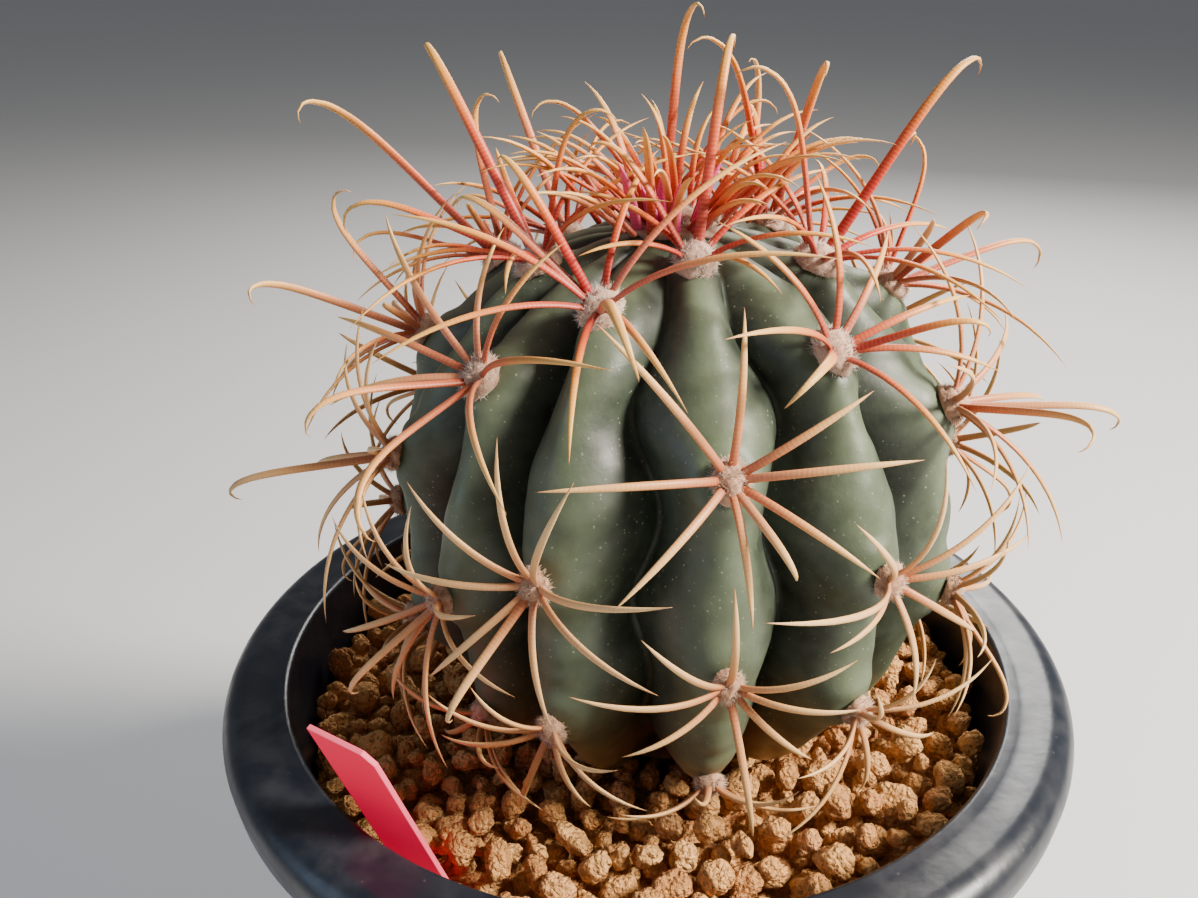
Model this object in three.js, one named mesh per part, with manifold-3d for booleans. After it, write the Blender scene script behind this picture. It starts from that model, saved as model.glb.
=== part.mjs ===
// A barrel cactus (ferocactus) in a round plastic pot, in millimetres, with +Z up.
// The origin is the middle of the pot's underside. The front of the plant looks along -Y.

import * as THREE from 'three';
import { mergeVertices } from 'three/addons/utils/BufferGeometryUtils.js';
import Module from 'manifold-3d';

const wasm = await Module();
wasm.setup();

// Driving dimensions of the pot
const POT_HEIGHT = 110;
const POT_SIDES = 40;
const RIM_RADIUS = 75;
const MOUTH_RADIUS = 63.5;
const RIM_SKIRT = 11;
const RIM_ROLL = 4.5;
const RIM_TUCK = 1.8;
const LIP_ROUND = 1;
const FOOT_ROUND = 1.5;
const POT_WALL = 2.4;
const POT_FLOOR = 4;
const BASE_RADIUS = 49;
const DRAIN_HOLES = 8;
const DRAIN_RING = 33;
const DRAIN_RADIUS = 4.5;
const DRAIN_SIDES = 8;

// Driving dimensions of the gravel bed
const GAP = 0.3;
const SOIL_TOP = POT_HEIGHT - 10;
const STONE_SPACING = 8.2;
const STONE_HEIGHT = 3.4;
const STONE_JITTER = 1;
const STONE_ROW = Math.sqrt(0.75);
const BED_CLEARANCE = GAP + 0.1;
const WELL_CLEARANCE = 1;
const WELL_SIDES = 26;

// Driving dimensions of the stem
const STEM_X = 5;
const STEM_Y = -1;
const STEM_RADIUS = 46.2;
const STEM_WAIST = POT_HEIGHT + 34;
const CROWN_RISE = 42.7;
const BELLY_DROP = 50.2;
const STEM_ROUNDNESS = 2.2;
const GROOVE = 0.26;
const GROOVE_WAVE = 0.08;
const WAVE_WIDEST = 0.85;
const WAVE_LEAST = 0.25;
const WAVE_TOP = 60;
const TUBERCLE = 3.5;
const TUBERCLE_LEVEL = 0.65;
const TUBERCLE_POWER = 1.3;
const CHIN_SHARE = 0.25;
const RIB_FULLNESS = 0.62;
const RIDGE_SHARPNESS = 0.45;
const RELIEF_FADE = 30;
const TOE_HEIGHT = 26;
const TOE_SHARPNESS = 1.5;
const TOE_GROOVE = 0.16;
const NEXT_ABOVE = 22;
const NEXT_BELOW = 26;
const NECK_TOP_RADIUS = 16.8;
const NECK_RADIUS = 12;
const NECK_DEPTH = 24;
const NECK_OVERLAP = 10;
const NECK_SIDES = 14;

// The lattice of the stem's skin: rows by their angle from the waist, and columns by the
// share of the way from one crest to the next, with the groove at one half
const SKIN_ROWS = [-60, -49, -39, -30, -21, -13, -5, 3, 11, 19, 27, 35, 44, 53, 63, 74];
const SKIN_COLUMNS = [0, 0.17, 0.36, 0.5, 0.64, 0.83];

// The ribs, by the azimuth of each crest in degrees from -Y towards +X, and the areoles
// on each rib, by their height over the rim from the crown down
const RIBS = [
  { azimuth: 8, areoles: [75, 54.5, 25.6, 1] },
  { azimuth: 37, areoles: [66, 37, 13] },
  { azimuth: 68, areoles: [73, 54, 23] },
  { azimuth: 97, areoles: [66, 38, 9] },
  { azimuth: 127, areoles: [74, 50, 19] },
  { azimuth: 157, areoles: [67, 40, 11] },
  { azimuth: 187, areoles: [75, 54, 26, 2] },
  { azimuth: 216, areoles: [68, 38, 12] },
  { azimuth: 246, areoles: [68, 43, 13] },
  { azimuth: 268, areoles: [59, 28, 4] },
  { azimuth: 292, areoles: [73, 46, 16] },
  { azimuth: 314, areoles: [62, 30, 6] },
  { azimuth: 336, areoles: [71, 39, 13] },
];

// Driving dimensions of the areoles and spines
const PAD_LENGTH = 3.1;
const PAD_WIDTH = 2.5;
const PAD_HEIGHT = 1.9;
const PAD_SIDES = 6;
const PAD_SHOULDER = 0.35;
const PAD_FOOT = 0.9;
const ROOT_LEVEL = 0.45;
const SPINE_RADIUS = 0.52;
const HOOK_RADIUS = 0.54;
const HOOK_STOUTNESS = 0.2;
const SHORT_HOOK = 18;
const LONG_HOOK = 42;
const SPINE_LIFT = 44;
const SPINE_BEND = -58;
const SPINE_STRETCH = 1.04;
const HOOK_BEND = -155;
const HOOK_SHARPNESS = 6;
const ROOT_OFFSET = 1.1;
const ROOT_TIP = 0.15;
const SPINE_TAPER = 4;
const HOOK_TAPER = 5.5;
const SECTION_TURNS = [90, 210, 330];
const SECTION_SWELL = 1.2;
const FINE_STEPS = 40;
const RADIAL_STOPS = [0, 20, 40];
const HOOK_STOPS = [0, 20, 31, 36, 40];
const SPINE_CLEARANCE = 0.4;
const SKIN_CLEARANCE = 0.5;
const ROOT_REACH = 3.5;
const HOOK_SLACK = 6;
const AREOLE_SEED = 20;
const CROWN_SEED = 7;
const GRAVEL_SEED = 3;

// Driving dimensions of the wool and young spines on the crown
const CROWN_RADIUS = 8.5;
const CROWN_HEIGHT = 3.2;
const CROWN_SIDES = 12;
const CROWN_SHOULDER = 0.8;
const YOUNG_SPINES = 28;
const YOUNG_RADIUS = 0.55;
const YOUNG_RING = 0.75;
const YOUNG_TURN = 137.5;
const YOUNG_REACH = 13;
const YOUNG_LIFT = 86;
const YOUNG_LEAN = 46;
const YOUNG_BEND = -65;
const YOUNG_SHARPNESS = 2;

// The label: its two lower corners where it meets the gravel, and the way it leans
const LABEL_LEFT = new THREE.Vector3(-40.1, -41.6, SOIL_TOP);
const LABEL_RIGHT = new THREE.Vector3(-29.8, -47.8, SOIL_TOP);
const LABEL_RISE = new THREE.Vector3(-5.7, -9.1, 30);
const LABEL_BURIED = 18;
const LABEL_THICKNESS = 0.8;
const LABEL_CHAMFER = 1.8;

const MERGE_DISTANCE = 1e-4;
const SLOPE_STEP = 0.2;
const radians = THREE.MathUtils.degToRad;

// What an areole grows that isn't listed by hand: its number of radials and their lengths
// from the youngest at the crown to the oldest at the gravel, and the ranges from which
// the clock, lift and length of its hooked centrals are drawn. The three heights are over
// the rim
const YOUNGEST_OVER = 75;
const YOUNG_ABOVE = 58;
const OLD_BELOW = 20;
const RADIALS = 8;
const OLD_RADIALS = 7;
const YOUNG_LENGTH = 28;
const OLD_LENGTH = 17;
const YOUNG_HOOKS = [
  { clock: [-25, 25], lift: [58, 68], length: [32, 40] },
  { clock: [-95, -60], lift: [50, 60], length: [25, 31] },
  { clock: [120, 200], lift: [48, 58], length: [25, 32] },
];
const MIDDLE_HOOKS = [
  { clock: [150, 210], lift: [48, 56], length: [18, 24] },
];

// Spines of the areoles that face the front, by rib and areole: radials as [clock, length]
// and hooked centrals as [clock, lift, length]. The clock is in degrees from the crown, to
// the right as seen from outside. A rule grows those of the other areoles
const SEEN_SPINES = {
  '0_0': {
    radials: [[-54, 20], [114, 24], [158, 20], [60, 26], [-110, 18]],
    hooks: [[20, 62, 37], [-60, 55, 24]],
  },
  '0_1': {
    radials: [[5, 21], [-40, 26], [60, 20], [87, 23], [128, 21], [178, 18], [-132, 22], [-90, 25]],
    hooks: [[155, 45, 17]],
  },
  '0_2': {
    radials: [[-3, 19], [-42, 19], [-73, 23], [-114, 16], [171, 23], [132, 15], [93, 17], [63, 17]],
    hooks: [],
  },
  '1_0': {
    radials: [[-39, 23], [6, 23], [50, 20], [90, 22], [123, 22], [178, 26], [-87, 26]],
    hooks: [[126, 58, 22], [-112, 42, 32]],
  },
  '1_1': {
    radials: [[-42, 21], [-6, 23], [52, 24], [82, 22], [129, 17], [178, 17], [-111, 16], [-72, 34]],
    hooks: [],
  },
  '2_0': { hooks: [[108, 72, 42], [96, 52, 31], [-20, 60, 34]] },
  '2_1': { hooks: [[144, 64, 28], [-108, 62, 28]] },
  '3_0': { hooks: [[160, 55, 33], [24, 68, 26], [-75, 50, 28]] },
  '4_0': { hooks: [[-50, 64, 34], [100, 55, 30], [10, 60, 36]] },
  '6_0': { hooks: [[-12, 65, 39], [80, 52, 30], [-90, 55, 28]] },
  '7_0': { hooks: [[32, 66, 38], [-70, 52, 28], [150, 50, 30]] },
  '8_0': { hooks: [[90, 68, 46], [20, 58, 32], [150, 48, 28]] },
  '9_0': { hooks: [[98, 66, 34], [24, 68, 30]] },
  '10_0': { hooks: [[-86, 68, 43], [-148, 50, 34], [40, 58, 30]] },
  '10_1': { hooks: [[-142, 66, 31]] },
  '11_0': {
    radials: [[-57, 29], [-12, 20], [25, 22], [-93, 27], [-126, 23], [119, 30], [79, 31]],
    hooks: [[-165, 58, 28], [151, 42, 36]],
  },
  '12_0': {
    radials: [[-100, 30], [-125, 31], [3, 28], [30, 33], [81, 33], [162, 30], [134, 31]],
    hooks: [[-60, 62, 27], [-80, 48, 27], [142, 38, 40]],
  },
  '12_1': {
    radials: [[-10, 23], [27, 24], [-48, 21], [-87, 20], [-138, 20], [162, 18], [108, 22], [75, 23]],
    hooks: [[-160, 52, 23]],
  },
  '12_2': {
    radials: [[-30, 15], [-60, 18], [-99, 17], [-165, 24], [153, 13], [106, 17], [60, 18]],
    hooks: [],
  },
};

// Seeded draws

function seededDraw(seed) {
  let state = seed;
  return (low, high) => {
    state = (state * 1664525 + 1013904223) % 4294967296;
    return low + (high - low) * state / 4294967296;
  };
}

// Solids from three.js geometry and back

function toSolid(geometry) {
  const bare = new THREE.BufferGeometry();
  bare.setAttribute('position', geometry.getAttribute('position'));
  bare.setIndex(geometry.getIndex());
  const merged = mergeVertices(bare, MERGE_DISTANCE);
  const places = merged.getAttribute('position').array;
  const corners = merged.getIndex().array;
  const kept = [];
  for (let i = 0; i < corners.length; i += 3) {
    const [a, b, c] = [corners[i], corners[i + 1], corners[i + 2]];
    if (a !== b && b !== c && c !== a) kept.push(a, b, c);
  }
  const build = (triangles) => new wasm.Manifold(new wasm.Mesh({
    numProp: 3,
    vertProperties: Float32Array.from(places),
    triVerts: Uint32Array.from(triangles),
  }));
  const solid = build(kept);
  if (solid.volume() > 0) return solid;
  const flipped = [];
  for (let i = 0; i < kept.length; i += 3) flipped.push(kept[i], kept[i + 2], kept[i + 1]);
  return build(flipped);
}

function toGeometry(solid) {
  const mesh = solid.getMesh();
  const geometry = new THREE.BufferGeometry();
  geometry.setAttribute('position', new THREE.BufferAttribute(mesh.vertProperties, 3));
  geometry.setIndex(new THREE.BufferAttribute(mesh.triVerts, 1));
  geometry.computeVertexNormals();
  return geometry;
}

function turned(profile, sides) {
  const points = profile.map(([radius, height]) => new THREE.Vector2(radius, height));
  return toSolid(new THREE.LatheGeometry(points, sides).rotateX(Math.PI / 2));
}

// A closed skin over rings of points that all have the same number of points, closed by
// a point at each end
function skinned(first, rings, last) {
  const sides = rings[0].length;
  const places = [first, ...rings.flat(), last];
  const end = places.length - 1;
  const corners = [];
  for (let i = 0; i < sides; i += 1) {
    const next = (i + 1) % sides;
    corners.push(0, 1 + next, 1 + i);
    for (let row = 0; row + 1 < rings.length; row += 1) {
      const low = 1 + row * sides;
      const high = low + sides;
      corners.push(low + i, low + next, high + next, low + i, high + next, high + i);
    }
    const top = 1 + (rings.length - 1) * sides;
    corners.push(top + i, top + next, end);
  }
  const geometry = new THREE.BufferGeometry().setFromPoints(places);
  geometry.setIndex(corners);
  return toSolid(geometry);
}

// A block under a sheet of points in rows, down to a flat underside
function sheetSolid(lines, underside) {
  const width = lines[0].length;
  const tops = lines.flat();
  const places = [...tops, ...tops.map((point) => point.clone().setZ(underside))];
  const corners = [];
  const quad = (a, b, c, d) => corners.push(a, b, c, a, c, d);
  const under = tops.length;
  for (let row = 0; row + 1 < lines.length; row += 1) {
    for (let column = 0; column + 1 < width; column += 1) {
      const near = row * width + column;
      const far = near + width;
      if (row % 2) {
        corners.push(near, near + 1, far + 1, near, far + 1, far);
      } else {
        corners.push(near, near + 1, far, near + 1, far + 1, far);
      }
      quad(under + near, under + far, under + far + 1, under + near + 1);
    }
  }
  const last = (lines.length - 1) * width;
  for (let column = 0; column + 1 < width; column += 1) {
    quad(under + column, under + column + 1, column + 1, column);
    quad(last + column, last + column + 1, under + last + column + 1, under + last + column);
  }
  for (let row = 0; row + 1 < lines.length; row += 1) {
    const left = row * width;
    const right = left + width - 1;
    quad(under + left + width, under + left, left, left + width);
    quad(under + right, under + right + width, right + width, right);
  }
  const geometry = new THREE.BufferGeometry().setFromPoints(places);
  geometry.setIndex(corners);
  return toSolid(geometry);
}

// The pot, a turned shell with a rolled rim and drain holes in its floor

const potOuter = (height) => THREE.MathUtils.mapLinear(
  height, 0, POT_HEIGHT, BASE_RADIUS, MOUTH_RADIUS + POT_WALL);
const potInner = (height) => potOuter(height) - POT_WALL;

function makePot() {
  const skirt = POT_HEIGHT - RIM_SKIRT;
  const roll = [0, 30, 60, 90].map((turn) => [
    RIM_RADIUS - RIM_ROLL + RIM_ROLL * Math.cos(radians(turn)),
    POT_HEIGHT - RIM_ROLL + RIM_ROLL * Math.sin(radians(turn)),
  ]);
  const shell = turned([
    [0, 0],
    [BASE_RADIUS - FOOT_ROUND, 0],
    [BASE_RADIUS, FOOT_ROUND],
    [potOuter(skirt - RIM_TUCK), skirt - RIM_TUCK],
    [RIM_RADIUS - RIM_TUCK, skirt],
    ...roll,
    [MOUTH_RADIUS + LIP_ROUND, POT_HEIGHT],
    [potInner(POT_HEIGHT - LIP_ROUND), POT_HEIGHT - LIP_ROUND],
    [potInner(POT_FLOOR), POT_FLOOR],
    [0, POT_FLOOR],
  ], POT_SIDES);
  const holes = [];
  for (let i = 0; i < DRAIN_HOLES; i += 1) {
    const angle = 2 * Math.PI * i / DRAIN_HOLES;
    const hole = new THREE.CylinderGeometry(DRAIN_RADIUS, DRAIN_RADIUS, 3 * POT_FLOOR, DRAIN_SIDES);
    hole.rotateX(Math.PI / 2);
    hole.translate(DRAIN_RING * Math.cos(angle), DRAIN_RING * Math.sin(angle), POT_FLOOR / 2);
    holes.push(toSolid(hole));
  }
  return shell.subtract(wasm.Manifold.union(holes));
}

// The stem, a ribbed barrel whose crests swell down to each areole and drop in below it

function crestRadius(height) {
  const reach = height > STEM_WAIST ? CROWN_RISE : BELLY_DROP;
  const share = Math.min(Math.abs(height - STEM_WAIST) / reach, 1);
  return STEM_RADIUS * (1 - share ** STEM_ROUNDNESS) ** (1 / STEM_ROUNDNESS);
}

// How far the place has come from the areole above it on its rib to the one below it
function ribPhase(rib, height) {
  const over = height - POT_HEIGHT;
  const stops = [rib.areoles[0] + NEXT_ABOVE, ...rib.areoles, rib.areoles.at(-1) - NEXT_BELOW];
  for (let i = 0; i + 1 < stops.length; i += 1) {
    const share = (stops[i] - over) / (stops[i] - stops[i + 1]);
    if (over > stops[i + 1]) return THREE.MathUtils.clamp(share, 0, 1);
  }
  return 1;
}

// What is left, below an areole, of the shoulder that carries it
const chinShare = (phase) => Math.exp(-((phase / CHIN_SHARE) ** 2));

function ribSwell(rib, height) {
  const phase = ribPhase(rib, height);
  const rise = phase ** TUBERCLE_POWER - TUBERCLE_LEVEL;
  return TUBERCLE * (rise + chinShare(phase));
}

// Where the groove runs between two ribs, as a share of the way from the first crest to
// the second: a rib is widest a little above its areoles and slimmest below them, the
// more so the nearer the crown
function groovePlace(rib, next, height) {
  const spread = (one) => Math.cos(2 * Math.PI * (ribPhase(one, height) - WAVE_WIDEST));
  const youth = THREE.MathUtils.clamp((height - POT_HEIGHT) / WAVE_TOP, WAVE_LEAST, 1);
  return 0.5 + GROOVE_WAVE * youth * (spread(rib) - spread(next));
}

function stemRadius(azimuth, height) {
  const turn = ((azimuth - RIBS[0].azimuth) % 360 + 360) % 360;
  const starts = RIBS.map((rib) => ((rib.azimuth - RIBS[0].azimuth) % 360 + 360) % 360);
  let index = RIBS.length - 1;
  while (starts[index] > turn) index -= 1;
  const next = (index + 1) % RIBS.length;
  const span = (next === 0 ? 360 : starts[next]) - starts[index];
  const across = (turn - starts[index]) / span;
  const groove = groovePlace(RIBS[index], RIBS[next], height);
  const rib = across < groove ? RIBS[index] : RIBS[next];
  const away = across < groove ? across / groove : (1 - across) / (1 - groove);
  const phase = ribPhase(rib, height);
  // Near the gravel the ribs narrow to toes with deep gaps between them
  const toe = THREE.MathUtils.clamp(1 - (height - SOIL_TOP) / TOE_HEIGHT, 0, 1) ** 2;
  const sharpness = RIB_FULLNESS + RIDGE_SHARPNESS * (phase ** 2 + chinShare(phase)) + TOE_SHARPNESS * toe;
  const shape = Math.abs(Math.cos(Math.PI / 2 * away)) ** sharpness;
  const crest = crestRadius(height);
  const fade = Math.min(crest / RELIEF_FADE, 1);
  const depth = (GROOVE + TOE_GROOVE * toe) * (1 - shape);
  return crest * (1 - depth) + ribSwell(rib, height) * shape * fade;
}

function stemPoint(azimuth, height) {
  const angle = radians(azimuth);
  const radius = stemRadius(azimuth, height);
  return new THREE.Vector3(STEM_X + radius * Math.sin(angle), STEM_Y - radius * Math.cos(angle), height);
}

const CROWN_TOP = STEM_WAIST + CROWN_RISE;

function makeStem() {
  const rings = SKIN_ROWS.map((row) => {
    const rise = Math.sign(row) * Math.abs(Math.sin(radians(row))) ** (2 / STEM_ROUNDNESS);
    const height = STEM_WAIST + rise * (row > 0 ? CROWN_RISE : BELLY_DROP);
    return RIBS.flatMap((rib, index) => {
      const next = RIBS[(index + 1) % RIBS.length];
      const span = (next.azimuth - rib.azimuth + 360) % 360;
      const groove = groovePlace(rib, next, height);
      return SKIN_COLUMNS.map((share) => {
        const across = share < 0.5 ? 2 * share * groove : 1 - 2 * (1 - share) * (1 - groove);
        return stemPoint(rib.azimuth + span * across, height);
      });
    });
  });
  const foot = new THREE.Vector3(STEM_X, STEM_Y, rings[0][0].z);
  const crown = new THREE.Vector3(STEM_X, STEM_Y, CROWN_TOP);
  const barrel = skinned(foot, rings, crown);
  const neckLength = NECK_DEPTH + NECK_OVERLAP;
  const neck = new THREE.CylinderGeometry(NECK_TOP_RADIUS, NECK_RADIUS, neckLength, NECK_SIDES);
  neck.rotateX(Math.PI / 2);
  neck.translate(STEM_X, STEM_Y, SOIL_TOP - NECK_DEPTH + neckLength / 2);
  return barrel.add(toSolid(neck));
}

// Areoles and their spines

function areoleFrame(rib, over) {
  const height = POT_HEIGHT + over;
  const slope = (crestRadius(height + SLOPE_STEP) - crestRadius(height - SLOPE_STEP)) / (2 * SLOPE_STEP);
  const out = new THREE.Vector3(Math.sin(radians(rib.azimuth)), -Math.cos(radians(rib.azimuth)), 0);
  const upward = out.clone().multiplyScalar(slope);
  upward.z = 1;
  upward.normalize();
  const side = new THREE.Vector3().crossVectors(new THREE.Vector3(0, 0, 1), out);
  const normal = new THREE.Vector3().crossVectors(side, upward);
  return { centre: stemPoint(rib.azimuth, height), upward, side, normal };
}

function grownSpines(over, draw) {
  const age = THREE.MathUtils.clamp(1 - over / YOUNGEST_OVER, 0, 1);
  const count = over < OLD_BELOW ? OLD_RADIALS : RADIALS;
  const start = draw(-12, 12);
  const radials = [];
  for (let i = 0; i < count; i += 1) {
    const clock = start + 360 * (i + 0.5) / count + draw(-9, 9);
    radials.push([clock, THREE.MathUtils.lerp(YOUNG_LENGTH, OLD_LENGTH, age) * draw(0.85, 1.15)]);
  }
  let kinds = [];
  if (over > OLD_BELOW) kinds = MIDDLE_HOOKS;
  if (over > YOUNG_ABOVE) kinds = YOUNG_HOOKS;
  const hooks = kinds.map(({ clock, lift, length }) => [draw(...clock), draw(...lift), draw(...length)]);
  return { radials, hooks };
}

// The kinds of spine: how they bend, how thick they are when short and how much more when
// long, how they taper, and at which steps of their middle line they get a section
const RADIAL = {
  bend: SPINE_BEND, sharpness: 1, radius: SPINE_RADIUS, stoutness: 0, taper: SPINE_TAPER,
  stops: RADIAL_STOPS,
};
const HOOK = {
  bend: HOOK_BEND, sharpness: HOOK_SHARPNESS, radius: HOOK_RADIUS, stoutness: HOOK_STOUTNESS,
  taper: HOOK_TAPER, stops: HOOK_STOPS,
};
const YOUNG = {
  bend: YOUNG_BEND, sharpness: YOUNG_SHARPNESS, radius: YOUNG_RADIUS, stoutness: 0,
  taper: SPINE_TAPER, stops: RADIAL_STOPS,
};

// The middle line of a spine: it leaves its areole at the given clock and lift, and its
// lift changes by bend on the way, mostly near the tip where the sharpness is high
function spineLine(frame, { clock, lift, length, bend, sharpness, radius, stoutness, taper, stops }) {
  const along = frame.upward.clone().multiplyScalar(Math.cos(radians(clock)));
  along.addScaledVector(frame.side, Math.sin(radians(clock)));
  const place = frame.centre.clone().addScaledVector(frame.normal, GAP + PAD_HEIGHT * ROOT_LEVEL);
  place.addScaledVector(along, ROOT_OFFSET);
  const across = new THREE.Vector3().crossVectors(frame.normal, along);
  const longness = THREE.MathUtils.clamp((length - SHORT_HOOK) / (LONG_HOOK - SHORT_HOOK), 0, 1);
  const points = [];
  for (let i = 0; i <= FINE_STEPS; i += 1) {
    const angle = radians(lift + bend * ((i + 0.5) / FINE_STEPS) ** sharpness);
    const heading = along.clone().multiplyScalar(Math.cos(angle));
    heading.addScaledVector(frame.normal, Math.sin(angle));
    const stop = stops.indexOf(i);
    const reach = SECTION_SWELL * (radius + stoutness * longness) * (1 - (i / FINE_STEPS) ** taper);
    if (stop >= 0) points.push({ place: place.clone(), heading, reach });
    place.addScaledVector(heading, length / FINE_STEPS);
  }
  return { points, across };
}

function spineSolid(line) {
  const rings = line.points.slice(0, -1).map(({ place, heading, reach }) => {
    const over = new THREE.Vector3().crossVectors(heading, line.across);
    const ring = [];
    for (const turn of SECTION_TURNS) {
      ring.push(place.clone()
        .addScaledVector(line.across, reach * Math.cos(radians(turn)))
        .addScaledVector(over, reach * Math.sin(radians(turn))));
    }
    return ring;
  });
  const root = rings[0][0].clone().add(rings[0][1]).add(rings[0][2]).divideScalar(3);
  root.addScaledVector(line.points[0].heading, -ROOT_TIP);
  return skinned(root, rings, line.points.at(-1).place);
}

// Clearances, so that no spine runs into another areole's, the stem, the gravel, the pot
// or the label

function segmentGap(a, b, c, d) {
  const u = b.clone().sub(a);
  const v = d.clone().sub(c);
  const w = a.clone().sub(c);
  const uu = u.dot(u);
  const uv = u.dot(v);
  const vv = v.dot(v);
  const det = uu * vv - uv * uv;
  let s = det > 1e-9 ? THREE.MathUtils.clamp((uv * v.dot(w) - vv * u.dot(w)) / det, 0, 1) : 0;
  const t = THREE.MathUtils.clamp((uv * s + v.dot(w)) / vv, 0, 1);
  s = THREE.MathUtils.clamp((uv * t - u.dot(w)) / uu, 0, 1);
  return w.addScaledVector(u, s).addScaledVector(v, -t).length();
}

const labelAcross = LABEL_RIGHT.clone().sub(LABEL_LEFT);
const labelMiddle = LABEL_LEFT.clone().add(LABEL_RIGHT).divideScalar(2);
const labelFace = new THREE.Vector3().crossVectors(labelAcross, LABEL_RISE).normalize();

function clearOfPlace(place, reach) {
  const room = reach + SKIN_CLEARANCE;
  const stemDistance = Math.hypot(place.x - STEM_X, place.y - STEM_Y);
  const azimuth = THREE.MathUtils.radToDeg(Math.atan2(place.x - STEM_X, STEM_Y - place.y));
  const overCrown = place.z > CROWN_TOP + TUBERCLE / 2 + reach;
  if (!overCrown && stemDistance < stemRadius(azimuth, place.z) + room) return false;
  if (place.z < SOIL_TOP + STONE_HEIGHT + room) return false;
  const besidePot = Math.hypot(place.x, place.y) > MOUTH_RADIUS - room - GAP;
  if (besidePot && place.z < POT_HEIGHT + room) return false;
  const fromLabel = place.clone().sub(labelMiddle);
  const halfWidth = labelAcross.length() / 2;
  const beside = Math.abs(fromLabel.dot(labelAcross)) / labelAcross.length() > halfWidth + room;
  const before = Math.abs(fromLabel.dot(labelFace)) > LABEL_THICKNESS / 2 + room;
  return beside || before || fromLabel.z > LABEL_RISE.z + room;
}

const placedSpines = [];
const pads = [];

function clearOfOthers(cluster, line) {
  const places = line.points.map((point) => point.place);
  const middle = places[0].clone().add(places.at(-1)).divideScalar(2);
  const spread = places[0].distanceTo(places.at(-1)) / 2 + HOOK_SLACK;
  const reaches = line.points.map((point) => point.reach);
  for (let i = 0; i + 1 < places.length; i += 1) {
    for (const part of [0.25, 0.5, 0.75, 1]) {
      const travelled = places[i].clone().lerp(places[i + 1], part);
      const grownOut = travelled.distanceTo(places[0]) > ROOT_REACH;
      if (grownOut && !clearOfPlace(travelled, reaches[i])) return false;
    }
    for (const pad of pads) {
      if (pad.cluster === cluster) continue;
      const space = segmentGap(places[i], places[i + 1], pad.foot, pad.top);
      if (space < PAD_LENGTH + reaches[i] + SPINE_CLEARANCE) return false;
    }
  }
  for (const other of placedSpines) {
    if (other.cluster === cluster) continue;
    if (other.middle.distanceTo(middle) > other.spread + spread) continue;
    for (let i = 0; i + 1 < places.length; i += 1) {
      for (let j = 0; j + 1 < other.places.length; j += 1) {
        const space = segmentGap(places[i], places[i + 1], other.places[j], other.places[j + 1]);
        if (space < reaches[i] + other.reaches[j] + SPINE_CLEARANCE) return false;
      }
    }
  }
  placedSpines.push({ cluster, places, reaches, middle, spread });
  return true;
}

// Small changes of clock, lift and length, the least of them first, that are tried in
// turn until the spine is clear
const CLOCK_NUDGE = 6;
const LIFT_NUDGE = 7;
const SCALE_NUDGE = 0.12;
const SCALE_COST = 1.5;

function nudgeCost({ clock, lift, scale }) {
  const turned = Math.abs(clock) / CLOCK_NUDGE + Math.abs(lift) / LIFT_NUDGE;
  const shortened = SCALE_COST * (1 - scale) / SCALE_NUDGE;
  const tieBreak = (clock < 0 ? 0.01 : 0) + (lift < 0 ? 0.001 : 0);
  return turned + shortened + tieBreak;
}

const NUDGES = [];
for (const shorter of [0, 1, 2, 3]) {
  for (const lifts of [0, 1, -1, 2, 3]) {
    for (const clocks of [0, 1, -1, 2, -2, 3, -3]) {
      NUDGES.push({
        clock: clocks * CLOCK_NUDGE,
        lift: lifts * LIFT_NUDGE,
        scale: 1 - shorter * SCALE_NUDGE,
      });
    }
  }
}
NUDGES.sort((a, b) => nudgeCost(a) - nudgeCost(b));

function clearSpine(cluster, frame, wanted) {
  for (const nudge of NUDGES) {
    const line = spineLine(frame, {
      ...wanted,
      clock: wanted.clock + nudge.clock,
      lift: wanted.lift + nudge.lift,
      length: wanted.length * nudge.scale,
    });
    if (clearOfOthers(cluster, line)) return line;
  }
  return null;
}

function makePad(frame) {
  const ringAt = (share, up) => {
    const ring = [];
    for (let i = 0; i < PAD_SIDES; i += 1) {
      const turn = 2 * Math.PI * i / PAD_SIDES;
      ring.push(frame.centre.clone()
        .addScaledVector(frame.normal, up)
        .addScaledVector(frame.side, share * PAD_WIDTH * Math.cos(turn))
        .addScaledVector(frame.upward, share * PAD_LENGTH * Math.sin(turn)));
    }
    return ring;
  };
  const foot = frame.centre.clone().addScaledVector(frame.normal, GAP);
  const top = frame.centre.clone().addScaledVector(frame.normal, GAP + PAD_HEIGHT);
  return skinned(foot, [ringAt(PAD_FOOT, GAP), ringAt(1, GAP + PAD_SHOULDER * PAD_HEIGHT)], top);
}

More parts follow.
